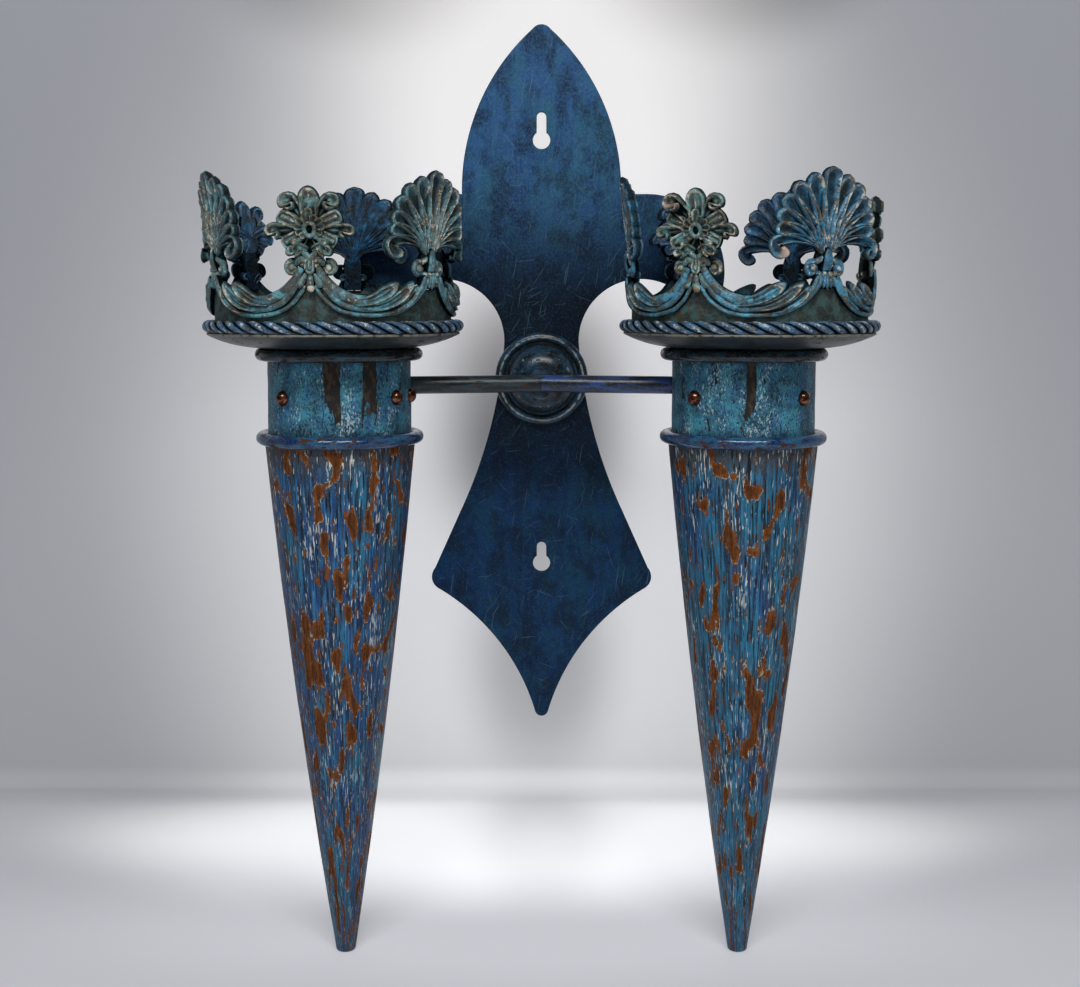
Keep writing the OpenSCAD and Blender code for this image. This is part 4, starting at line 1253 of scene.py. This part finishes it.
@dataclass(frozen=True)
class Palmette:
    """What shells and flowers are made of, in sheet coordinates from the middle of the fan's base.

    Attributes:
        seed: Seed of the casting's unevenness.
        bent: Whether some of its tips are bent forward and bare.
        shell_lobes: Angle, length and half width of each lobe beside the middle lobe.
        petals: Angle, length and half width of each petal beside the top petal.
        eye_h: Height of the flower's eye.
    """

    seed: int
    bent: bool = False
    shell_lobes: tuple[Size, ...] = (
        (14.6, 43.4, 5.3), (27.6, 42.4, 5.2), (39.4, 39.8, 4.9), (50.0, 36.4, 4.5), (59.4, 32.6, 4.1),
        (67.5, 28.6, 3.7))
    petals: tuple[Size, ...] = (
        (35, 15.6, 4.6), (64, 16.0, 4.4), (92, 15.4, 4.2), (119, 13.8, 3.9), (146, 11.4, 3.5))
    eye_h: float = 12.2

    def foot(self, cast: Ornament, spread: float, leaves: int, low: float) -> None:
        """Adds the neck behind the volutes and the small leaves that hang over the band.

        Args:
            cast: The ornament that takes them.
            spread: Half width of the husk at its lower end.
            leaves: Count of leaves.
            low: Height of the leaf tips.
        """
        cast.leaf([(0, -14.5, 0.4), (0, -5, 0.3), (0, 7, 0.2)], 5.4, 1.5, Section.REEDED, 0.95, 0.4, back=1.5)
        for side in (-1, 1):
            cast.leaf([(side * 1.5, -11, 1.2), (side * 4.6, -7.5, 0.8), (side * 6.6, -9.6, 0.6)], 2.4, 1.5,
                      Section.GOUGE, 0.5, 0.4, twin=0.9, count=16)
        for t in np.linspace(-1, 1, leaves):
            x = spread * t
            reach = low + 1.6 * abs(t)
            cast.leaf([(x * 0.4, -7.5, 2.4), (x * 0.8, (low - 7.5) / 2, 3.4), (x, reach, 3.2)],
                      spread / leaves * 1.2, 2.0, Section.ROUND, root=0.5, tip=0.4, count=16)

    def shell(self) -> Ornament:
        """Fan of gouged lobes over a pair of volutes, a row of beads and a husk."""
        cast = Ornament()
        for side in (-1, 1):
            for k, (angle, length, width) in reversed(list(enumerate(self.shell_lobes))):
                a = np.radians(np.array([0.42, 0.6, 0.82, 1.0]) * angle)
                r = length * np.array([0.03, 0.36, 0.72, 1.0])
                curl = (0.5, 1.1 - 0.12 * k, 1.5 - 0.12 * k, 2.4 + 0.1 * k)
                rise = k * np.array([0.95, 0.55, 0.15, 0.0])
                path = [(side * q * np.sin(b), q * np.cos(b) - 4 + up, o)
                        for q, b, o, up in zip(r, a, curl, rise)]
                curled = 0.0
                if k == len(self.shell_lobes) - 1:
                    x, z, o = path[-1]
                    path += [(x + side * 0.4, z - 3.0, o + 0.9), (x - side * 2.0, z - 4.6, o + 1.6),
                             (x - side * 3.8, z - 2.8, o + 2.0)]
                    curled = 0.9 if self.bent and side < 0 else 0.0
                cast.leaf(path, width, 2.7, Section.GOUGE, 0.12, 0.17, back=0.7, twin=0.8, bare=curled)
            cast.scroll((side * 7.2, -5.2, 1.6), 3.5, 1.5, 1.3, 110 if side > 0 else 70, -side)
            cast.strand([(side * 5.6, -2.2, 1.8), (side * 2.6, -0.6, 2.4), (0, 1.2, 2.8)], 1.6, 1.1, 16)
        cast.leaf([(0, -4, 0.8), (0, 13, 1.5), (0, 30, 2.0), (0, 41.4, 3.2)],
                  5.8, 2.7, Section.GOUGE, 0.16, 0.14, back=0.7, twin=0.8)
        for x in np.linspace(-4.4, 4.4, 4):
            cast.ball((x, -7.6, 3.4), 1.45, relief=0.74)
        cast.leaf([(0, -6, 2.4), (0, -1.5, 3.4), (0, 5.0, 2.6)], 2.9, 2.2, Section.ROUND, 0.9, 0.6, count=16)
        self.foot(cast, 6.2, 7, -15.0)
        return cast.finished(self.seed, 0.22)

    def flower(self) -> Ornament:
        """Gouged petals round an eye, on crossing scrolls over a pair of volutes and a husk."""
        cast = Ornament()
        z0 = self.eye_h
        for side in (-1, 1):
            for k, (angle, length, width) in reversed(list(enumerate(self.petals))):
                a = np.radians(angle * np.array([0.9, 0.97, 1.0, 1.0]))
                r = length * np.array([0.1, 0.45, 0.8, 1.0])
                bent = self.bent and side < 0 and k == 0
                forward = 6.4 if bent else 2.2 + 0.4 * k
                path = [(side * q * np.sin(b), z0 + q * np.cos(b), o)
                        for q, b, o in zip(r, a, (0.6, 1.0, 0.5 * forward, forward))]
                if k % 2 == 0:
                    x, z, o = path[-1]
                    path += [(x + side * 1.1, z - 0.6, o + 0.6), (x + side * 0.6, z - 2.2, o + 0.9)]
                section = Section.REEDED if k % 2 else Section.GOUGE
                cast.leaf(path, width, 2.7, section, 0.45, 0.28, back=0.7, twin=0.6, vein=0.35 * (1 - k % 2),
                          bare=0.9 * bent)
                inner = 0.48 * length
                cast.leaf([(side * q * np.sin(b), z0 + q * np.cos(b), o)
                           for q, b, o in zip((2.5, 0.7 * inner, inner), (a[2] - 0.25,) * 3, (2.2, 3.4, 3.0))],
                          1.9, 1.5, Section.GOUGE, 0.4, 0.4, count=16)
            cast.strand([(side * 2.0, z0 - 2, 2.4), (side * 5.0, z0 - 5.2, 2.6), (side * 3.8, z0 - 9.4, 2.8),
                         (side * 0.6, z0 - 12.6, 3.0), (side * -2.6, z0 - 15.4, 2.8)], 1.5, 1.5, relief=0.62)
            cast.scroll((side * 6.8, z0 - 6.2, 2.2), 2.2, 1.3, 0.9, 180 if side > 0 else 0, -side)
            cast.leaf([(side * 0.8, z0 - 9, 2.6), (side * 4.6, z0 - 7.6, 3.8), (side * 8.2, z0 - 10.6, 3.4)],
                      2.2, 1.6, Section.GOUGE, 0.4, 0.4, back=1.2, count=16)
            cast.leaf([(side * 0.8, -3.5, 2.6), (side * 4.2, -1.2, 3.6), (side * 6.4, -4.4, 3.2)], 1.9, 1.5,
                      Section.ROUND, 0.5, 0.4, back=1.2, count=16)
            cast.scroll((side * 8.2, -5.0, 1.8), 3.4, 1.5, 1.2, 110 if side > 0 else 70, -side)
            cast.strand([(side * 6.4, -2.2, 1.8), (side * 3.2, -3.6, 2.4), (0, -5.6, 2.8)], 1.5, 1.7, 16)
        cast.leaf([(0, z0 + 1.5, 1.0), (0, z0 + 10, 1.8), (0, z0 + 19.6, 2.6)],
                  5.2, 2.7, Section.GOUGE, 0.45, 0.3, back=0.7, twin=0.6, vein=0.45)
        cast.leaf([(0, z0 + 2.5, 2.2), (0, z0 + 7, 3.4), (0, z0 + 10.5, 3.0)],
                  2.2, 1.5, Section.GOUGE, 0.4, 0.4, count=16)
        cast.leaf([(0, z0 + 3, 0.4), (0, z0 - 6, 0.8), (0, z0 - 14, 1.0)], 5.6, 1.0, Section.ROUND, 0.8, 0.3)
        cast.leaf([(0, z0 + 11, 0.4), (0, z0, 0.7), (0, z0 - 9, 0.5)],
                  9.0, 0.9, Section.ROUND, 0.7, 0.4, twin=0.6)
        ring = [(2.4 * np.cos(b), z0 + 2.9 * np.sin(b), 3.6) for b in np.linspace(0, 2 * np.pi, 15)]
        cast.strand(ring, 1.1, 1.1, 44, relief=0.6)
        cast.ball((0, z0, 1.2), 2.2, relief=0.1)
        cast.leaf([(0, -1, 2.6), (0, -5, 3.6), (0, -8.5, 3.2)], 2.8, 2.0, Section.REEDED, 0.7, 0.5, count=16)
        self.foot(cast, 5.0, 3, -16.0)
        cast.ball((0.4, -14.4, 4.2), 1.8, relief=1.0)
        return cast.finished(self.seed, 0.25)


def swag(seed: int, length: float) -> Ornament:
    """Leaf swag from a flower's foot (0) down and up to a shell's foot, length away.

    A thick stem sweeps down from the flower, and gouged leaves branch from it and rise to round tips.

    Args:
        seed: Seed of the casting's unevenness.
        length: Way round the band from foot to foot in millimetres.

    Returns:
        The ornament: across from the flower, up from the boss axis and out from the band.
    """
    drawn, proud = 60.9, 1.65
    # Path, half width, height, section, root, tip, back, vein, bare and rings of a leaf, at the drawn length
    leaves = (
        ([(3.5, 57.5, 1.4), (7, 51.5, 1.2), (12.5, 46.2, 1.0), (20, 42.9, 1.0), (28, 42.6, 0.8)],
         2.9, 2.6, Section.ROUND, 0.5, 0.12, 1.2),
        ([(4.5, 52, 1.2), (9, 45.2, 0.9), (15, 40.6, 0.7), (24, 38.9, 0.7), (33, 39.5, 0.6)],
         1.9, 2.1, Section.ROUND, 0.5, 0.14, 1.0),
        ([(2, 49.5, 0.9), (7, 42.4, 0.6), (14, 37.6, 0.5), (25, 35.9, 0.5), (37, 36.9, 0.5), (46, 40.8, 0.7),
          (52.5, 46.6, 1.0), (57.5, 54, 1.4)], 1.5, 2.0, Section.ROUND, 0.6, 0.06, 1.0, 0.0, 0.0, 40),
        ([(18.5, 41.4, 1.6), (26, 42.8, 2.2), (33, 46.3, 2.3), (40, 51.0, 2.0)],
         3.3, 2.3, Section.GOUGE, 0.3, 0.34, 1.3, 0.35),
        ([(22, 39.2, 1.2), (31, 40.0, 1.6), (39, 43.6, 1.9), (48.4, 51.6, 1.8)],
         2.9, 2.3, Section.GOUGE, 0.3, 0.3, 1.3, 0.3),
        ([(30, 37.4, 0.9), (38, 38.8, 1.2), (45, 42.6, 1.5), (51.6, 49.8, 1.5)],
         2.2, 2.1, Section.GOUGE, 0.35, 0.28),
        ([(39, 38.2, 0.8), (46.5, 42.2, 1.0), (52, 48, 1.3), (55.4, 55, 1.6)],
         1.5, 2.0, Section.ROUND, 0.5, 0.2))
    cast = Ornament()
    for path, *form in leaves:
        cast.leaf([(x * (length / drawn), z, out) for x, z, out in path], *form)
    cast.parts = [replace(part, rings=part.rings + [0, 0, proud]) for part in cast.parts]
    return cast.finished(seed, 0.2)


@dataclass(frozen=True)
class Crown:
    """One crown: drip pan, rope moulding, gallery band, shells, flowers and swags.

    Attributes are the side's name, the turn of its first shell from the front in degrees, the seed of
    its casts, and its sizes in millimetres.
    """

    side: str
    turn: float
    seed: int
    parts: int = 3
    palmette_r: float = 57.45
    fan_z: float = 62.55
    lean: float = 5.0
    bend_r: float = 110.0
    lean_from: float = -6.0
    reach: float = 64.2
    rope_r: float = 3.0
    rope_crossings: int = 46
    rope_strands: int = 3
    rope_cut: float = 0.42
    pan_flat_r: float = 37.0
    pan_r: float = 62.4
    pan_rise: float = 6.5
    pan_t: float = 1.2
    pan_bulge: float = 1.4
    pan_hole_r: float = 4.1

    @property
    def axis(self) -> tuple[float, float]:
        """X and Y of the crown's axis."""
        return axis_of(f"{self.side}_drip_pan")

    def bend(self, ornament: Ornament, azimuth: float, base_z: float, bend_r: float) -> Skin:
        """Bends an ornament round an upright axis and stands it on the crown.

        Across becomes an angle on the bending radius and out adds to that radius. The whole is moved out to
        the palmettes' radius, which grows with their lean above the fan's base, and is turned about the
        crown's axis.

        Args:
            ornament: The ornament in sheet coordinates.
            azimuth: Angle of its middle from the front, in degrees.
            base_z: Height of its zero.
            bend_r: The bending radius.

        Returns:
            The bent skins.
        """
        skin = Skin()
        turn = np.radians(azimuth)
        for cast in ornament.parts:
            across, up, out = np.moveaxis(cast.rings, -1, 0)
            lean = np.maximum(up, self.lean_from) * np.tan(np.radians(self.lean)) * (base_z > 0)
            a = across / bend_r
            aside = (bend_r + out) * np.sin(a)
            away = self.palmette_r - 0.9 + lean - bend_r + (bend_r + out) * np.cos(a)
            flat = np.stack([away * np.sin(turn) + aside * np.cos(turn),
                             aside * np.sin(turn) - away * np.cos(turn)], -1)
            flat = np.asarray(self.axis) + np.clip(flat, -self.reach, self.reach)
            rings = np.concatenate([flat, (base_z + up)[..., None]], -1)
            skin.tube(rings, cast.relief, cast.bare, cast.shade)
        return skin

    def rope(self) -> bpy.types.Object:
        """Rope moulding: a ring whose section has round strands that turn as they go round.

        The section's radius falls in grooves where the strands meet: it follows the size of the cosine of
        half the strand angle, which counts the turns round the section and along the ring.
        """
        low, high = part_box(f"{self.side}_rope_rim")
        ring_r = (high.x - low.x) / 2 / MM - self.rope_r
        z = (low.z + high.z) / 2 / MM
        rings_a_crossing, points_a_ring = 11, 24
        along = np.linspace(0, 2 * np.pi, self.rope_crossings * rings_a_crossing, endpoint=False)[:, None]
        round_way = np.linspace(0, 2 * np.pi, points_a_ring, endpoint=False)[None]
        strand = np.abs(np.cos((self.rope_strands * round_way + self.rope_crossings * along) / 2)) ** 0.7
        r = self.rope_r * (1 - self.rope_cut + self.rope_cut * strand)
        radius = ring_r + r * np.cos(round_way)
        x, y = self.axis
        rings = np.stack([x + radius * np.sin(along), y - radius * np.cos(along),
                          z + r * np.sin(round_way)], -1)
        # Low relief in the grooves is painted dark, partly painted shade; high relief on the crests is painted
        # pale, rubbed wear and partly painted highlight.
        relief = np.clip(strand * 1.3 - 0.36, 0, 1)
        return Skin().tube(rings, relief, loop=True).build(f"{self.side}_rope_laid", 80)

    def pan(self) -> bpy.types.Object:
        """Drip pan: a spun dish with a flat middle, a curved rise and a soft rim."""
        low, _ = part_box(f"{self.side}_drip_pan")
        hole, flat, edge, t = self.pan_hole_r, self.pan_flat_r, self.pan_r - 0.5, self.pan_t
        under = bow((flat, 0), (edge, self.pan_rise), -self.pan_bulge, 24)
        rim = bow(under[-1], (edge, self.pan_rise + t), -0.5, 8)[1:-1]
        over = bow((edge, self.pan_rise + t), (flat, t), self.pan_bulge, 24)
        profile = np.vstack([rounded([(hole, 0), (flat, 0)], 4)[:-1], under, rim, over,
                             rounded([(flat, t), (hole, t)], 4)[1:]])
        rings = lathed(profile + [0, low.z / MM], 160, self.axis)
        outer = np.clip((profile[:, None, 0] - 40) / 22, 0, 1)
        rings[..., 2] += 0.22 * ripple(rings, 8, self.seed, 60) * outer
        worn = np.exp(-(((self.pan_r - profile[:, 0]) / 0.9) ** 2))
        return Skin().tube(rings, bare=worn[:, None], loop=True).build(f"{self.side}_pan_spun", 40)

    def looks(self) -> dict[str, bpy.types.Material]:
        """The crown's materials: the right one's shells and swags are bluer, and the pieces at the rear get a
        darker copy, which is painted shade.
        """
        blue = self.side == "right"
        casts = {
            # The rope's pale crests are rubbed wear and painted highlights.
            "blue_rope": (3.0 * self.seed, {
                "flank": "284a6c", "wash": "4a84ae", "dull": "2c3a48", "ridge": 0.84, "bone": "cdd6dc",
                "gold": "6f8496"}),
            "shell": (2.0 * self.seed, {
                "flank": "285a78" if blue else "3f5f6a", "wash": "3c90b6" if blue else "659ea8",
                "washes": 0.52, "dulls": 0.58, "tips": "1c3046"}),
            "flower": (2.0 * self.seed + 1, {
                "flank": "587a78", "wash": "78b6bc", "dulls": 0.5, "ridge": 0.76}),
            "swag": (2.0 * self.seed + 2, {
                "flank": "3d6676", "wash": "4ba4c4" if blue else "66a9b4", "washes": 0.53}),
            "shaded_rear": (2.0 * self.seed + 3, {
                "flank": "1b4064", "wash": "2f76a6", "dull": "18242f", "dulls": 0.55, "ridge": 0.94,
                "bone": "4f8ab2", "gold": "2c648e"})}
        made = {kind: PatinatedCasting(f"{self.side}_{kind}_patina", seed, **form).material()
                for kind, (seed, form) in casts.items()}
        made["pan"] = WornPaintOnTurnedMetal(
            f"{self.side}_worn_pan_paint", 5.0 * self.seed, ground="14191d", cloud="262f33", speck="8d8a7d",
            rub="3d3a34", rubs=0.6, size=(12.0, 12.0, 3.0), roughness=0.36, gloss=0.4).material()
        made["band"] = WornPaintOnTurnedMetal(
            f"{self.side}_band_patina", 4.0 * self.seed, ground="2b312f", cloud="3f5958", speck="7c8682",
            rub="4a4033", rubs=0.58, clouds=0.5, roughness=0.6, gloss=0.25).material()
        return made

    def make(self) -> None:
        """Builds and dresses the crown."""
        side, step, looks = self.side, 360 / self.parts, self.looks()
        dress(self.pan(), looks["pan"], "pan_paint", f"{side}_drip_pan")
        dress(self.rope(), looks["blue_rope"], "rope_paint", f"{side}_rope_rim")
        dress_node(f"{side}_gallery_band", looks["band"])
        bent = side == "right"
        for i in range(self.parts):
            shell = Palmette(self.seed + i, bent and i == 0).shell()
            flower = Palmette(self.seed + 10 + i, bent and i == 2).flower()
            for kind, cast, shift in (("shell", shell, 0.0), ("flower", flower, step / 2)):
                node = f"{side}_{kind}_{i + 1}"
                azimuth = self.turn + step * i + shift
                # Pieces turned towards the wall take the darker copy: painted shade.
                look = looks["shaded_rear" if np.cos(np.radians(azimuth)) < -0.3 else kind]
                skin = self.bend(cast, azimuth, self.fan_z, self.bend_r)
                dress(skin.build(f"{node}_cast", 50), look, "crown_patina", node)
        for i in range(2 * self.parts):
            cast = swag(self.seed + 20 + i, np.radians(step / 2) * self.palmette_r)
            start = self.turn + step / 2 * i
            if i % 2 == 0:
                cast, start = cast.mirrored(), start + step / 2
            node = f"{side}_swag_{i + 1}"
            skin = self.bend(cast, start, 0, self.palmette_r)
            dress(skin.build(f"{node}_cast", 50), looks["swag"], "crown_patina", node)


# The studio

# Reach of a pool through its sheet: so long that only the other two reaches shape the pool
ENDLESS = 1e6


@dataclass(frozen=True)
class Pool:
    """Soft oval patch on the backdrop: a lighter paint or a glow that the camera and gloss see, both painted
    light, or a painted shadow.

    It lies on the floor where it is endless upwards, and stands on the wall otherwise.

    Attributes:
        middle: X, Y and Z of its middle in millimetres.
        reach: Reach along X, Y and Z in millimetres.
        colour: Hex colour of the paint in the middle, a painted pool of light.
        glow: Strength of the glow, which is painted light, less than nothing for a painted shadow. A patch
            with a glow has no paint.
        inner: Share of the reach at which it starts to fade.
    """

    middle: Size
    reach: Size
    colour: str = ""
    glow: float = 0.0
    inner: float = 0.15


@dataclass(frozen=True)
class Studio:
    """Pale floor and backdrop, soft lights and the camera at the photograph's angle.

    Attributes are sizes in millimetres, colours as sRGB hex and light strengths in watts.
    """

    floor_z: float = -291.2
    wall_y: float = 175.0
    cove_r: float = 12.0
    half_w: float = 2600.0
    front: float = 2400.0
    top: float = 2200.0
    far: str = "93969d"
    floor: str = "d2d3da"
    glow: float = 0.10
    # The pools paint light and shade on the backdrop: the lighter paints and positive glows are painted pools
    # of light, the negative glows painted shadows of the plate, arms and tail and painted shade in the upper
    # corners.
    pools: tuple[Pool, ...] = (
        Pool((0, 175, -60), (420, ENDLESS, 520), "d6d6d8"),
        Pool((0, 175, 200), (250, ENDLESS, 330), "f2efed"),
        Pool((-12, 95, -291), (420, 105, ENDLESS), "ffffff", inner=0.3),
        Pool((0, 175, -300), (5000, ENDLESS, 480), glow=0.06),
        Pool((0, 175, -150), (340, ENDLESS, 400), glow=0.35),
        # Painted shadows round the plate's waist and below its tail.
        Pool((-6, 175, -30), (100, ENDLESS, 150), glow=-0.54),
        Pool((0, 175, -205), (78, ENDLESS, 110), glow=-0.28),
        Pool((0, 163, -288), (5000, 26, 15), glow=0.03, inner=0.2),
        Pool((-12, 163, -288), (330, 26, 15), glow=0.16, inner=0.2),
        Pool((0, 175, 160), (190, ENDLESS, 210), glow=0.18),
        # Painted shade in the upper corners.
        Pool((-118, 175, 262), (130, ENDLESS, 75), glow=-0.19),
        Pool((124, 175, 262), (130, ENDLESS, 75), glow=-0.22),
        Pool((0, -150, -291), (5000, 260, ENDLESS), glow=0.07),
        Pool((-12, 80, -291), (345, 140, ENDLESS), glow=0.5, inner=0.3),
        # Painted shadow of the plate on the floor between the cones.
        Pool((0, 90, -291), (62, 155, ENDLESS), glow=-0.2),
        Pool((-12, -40, -291), (330, 110, ENDLESS), glow=0.09, inner=0.3),
    )
    world: str = "d6dade"
    world_strength: float = 0.08
    lens: float = 46.667
    sensor_w: float = 36.0
    camera: Size = (0.0, -772.0, 43.06)
    pitch: float = 4.4
    shift: tuple[float, float] = (-0.0014, -0.0796)

    def backdrop_paper(self) -> bpy.types.Material:
        """Matt backdrop paper, grey far out, with painted pools of light that make it near white behind the
        piece and painted shadows round it, and clear from behind.
        """
        made, m = Mixer.start("matt_backdrop_paper")
        lying = m.ramp(m.along("Y"), (self.wall_y + 5) * MM, (self.wall_y - 50) * MM)
        standing = m.maths("SUBTRACT", 1.0, lying)
        colour = m.coat(self.far, (lying, 1, self.floor))
        glow: Socket | float = self.glow
        for pool in self.pools:
            way = m.vector("LENGTH", m.spot([v * MM for v in pool.middle], pool.reach), output="Value")
            fade = m.maths("MULTIPLY", m.ramp(way, 1.0, pool.inner, blend="SMOOTHERSTEP"),
                           lying if pool.reach[2] > ENDLESS / 10 else standing)
            if pool.glow:
                glow = m.maths("MULTIPLY_ADD", fade, pool.glow, glow)
            else:
                colour = m.coat(colour, (fade, 1, pool.colour))
        rays = [add_node(m.tree, "ShaderNodeLightPath", output=ray)
                for ray in ("Is Camera Ray", "Is Glossy Ray", "Is Transmission Ray")]
        seen = m.maths("MAXIMUM", m.maths("MAXIMUM", rays[0], rays[1]), rays[2])
        light = add_node(m.tree, "ShaderNodeEmission", {
            "Color": linear("f6f7fb"), "Strength": m.maths("MULTIPLY", glow, seen)})
        paper = add_node(m.tree, "ShaderNodeBsdfDiffuse", {"Color": colour})
        paper = add_node(m.tree, "ShaderNodeAddShader", {0: paper, 1: light})
        clear = add_node(m.tree, "ShaderNodeBsdfTransparent")
        behind = add_node(m.tree, "ShaderNodeNewGeometry", output="Backfacing")
        sides = add_node(m.tree, "ShaderNodeMixShader", {0: behind, 1: paper, 2: clear})
        add_node(m.tree, "ShaderNodeOutputMaterial", {"Surface": sides})
        return made

    def backdrop(self) -> None:
        """Floor and backdrop in one sheet: a straight floor, a round cove and a straight wall."""
        cove = arc((self.wall_y - self.cove_r, self.floor_z + self.cove_r), self.cove_r, -90, 0, 24)
        profile = np.vstack([(-self.front, self.floor_z), cove, (self.wall_y, self.top)])
        rows, n = len(profile), 9
        x = np.linspace(-self.half_w, self.half_w, n)
        grid = np.stack([np.broadcast_to(x, (rows, n)), np.repeat(profile[:, :1], n, 1),
                         np.repeat(profile[:, 1:], n, 1)], -1)
        i, j = np.meshgrid(np.arange(rows - 1), np.arange(n - 1), indexing="ij")
        faces = np.stack([i * n + j, i * n + j + 1, (i + 1) * n + j + 1, (i + 1) * n + j], -1).reshape(-1, 4)
        mesh = bpy.data.meshes.new("backdrop")
        mesh.from_pydata((grid.reshape(-1, 3) * MM).tolist(), [], faces.tolist())
        mesh.shade_smooth()
        mesh.materials.append(self.backdrop_paper())
        placed("backdrop", mesh)

    def lamp(self, name: str, place: Size, aim: Size, size: tuple[float, float], watts: float,
             mirrored: bool = True) -> None:
        """Adds a soft rectangular lamp that points at a place, mirrored in the surfaces or not."""
        data = bpy.data.lights.new(name, "AREA")
        data.shape, data.size, data.size_y = "RECTANGLE", size[0] * MM, size[1] * MM
        data.energy = watts
        lamp = placed(name, data)
        way = np.asarray(aim, float) - np.asarray(place, float)
        flat = np.hypot(way[0], way[1])
        lamp.location = [v * MM for v in place]
        lamp.visible_glossy = mirrored
        lamp.rotation_euler = (np.arctan2(flat, -way[2]), 0, np.arctan2(-way[0], way[1]))

    def make(self) -> None:
        """Builds the stage, the lights and the camera."""
        self.backdrop()
        scene = bpy.context.scene
        world = bpy.data.worlds.new("soft_studio")
        world.use_nodes = True
        back = world.node_tree.nodes["Background"]
        back.inputs["Color"].default_value = linear(self.world)
        back.inputs["Strength"].default_value = self.world_strength
        scene.world = world
        self.lamp("key_softbox", (0, -1000, 950), (0, -40, 0), (1200, 240), 12.0)
        self.lamp("front_softbox", (0, -1500, 120), (0, -40, -40), (500, 700), 3.8, mirrored=False)
        data = bpy.data.cameras.new("photo_camera")
        data.lens, data.sensor_width = self.lens, self.sensor_w
        data.shift_x, data.shift_y = self.shift
        camera = placed("photo_camera", data)
        camera.location = [v * MM for v in self.camera]
        camera.rotation_euler = (np.radians(90 - self.pitch), 0, 0)
        scene.camera = camera
        scene.view_settings.view_transform = "Standard"


def main() -> None:
    """Builds the studio and every sub-assembly in order."""
    logging.basicConfig(level=logging.INFO, format="%(name)s: %(message)s")
    Studio().make()
    WallPlate().make()
    Boss().make()
    Torch("left", 1, 0.66, 0.55, ((-99.9, 3.6, -8.0), (-82.4, 2.9, -9.0))).make()
    Torch("right", 2, 0.685, 0.43, ((99.7, 2.2, -6.0),)).make()
    Crown("left", -62.0, 31).make()
    Crown("right", 28.0, 57).make()


if __name__ == "__main__":
    main()
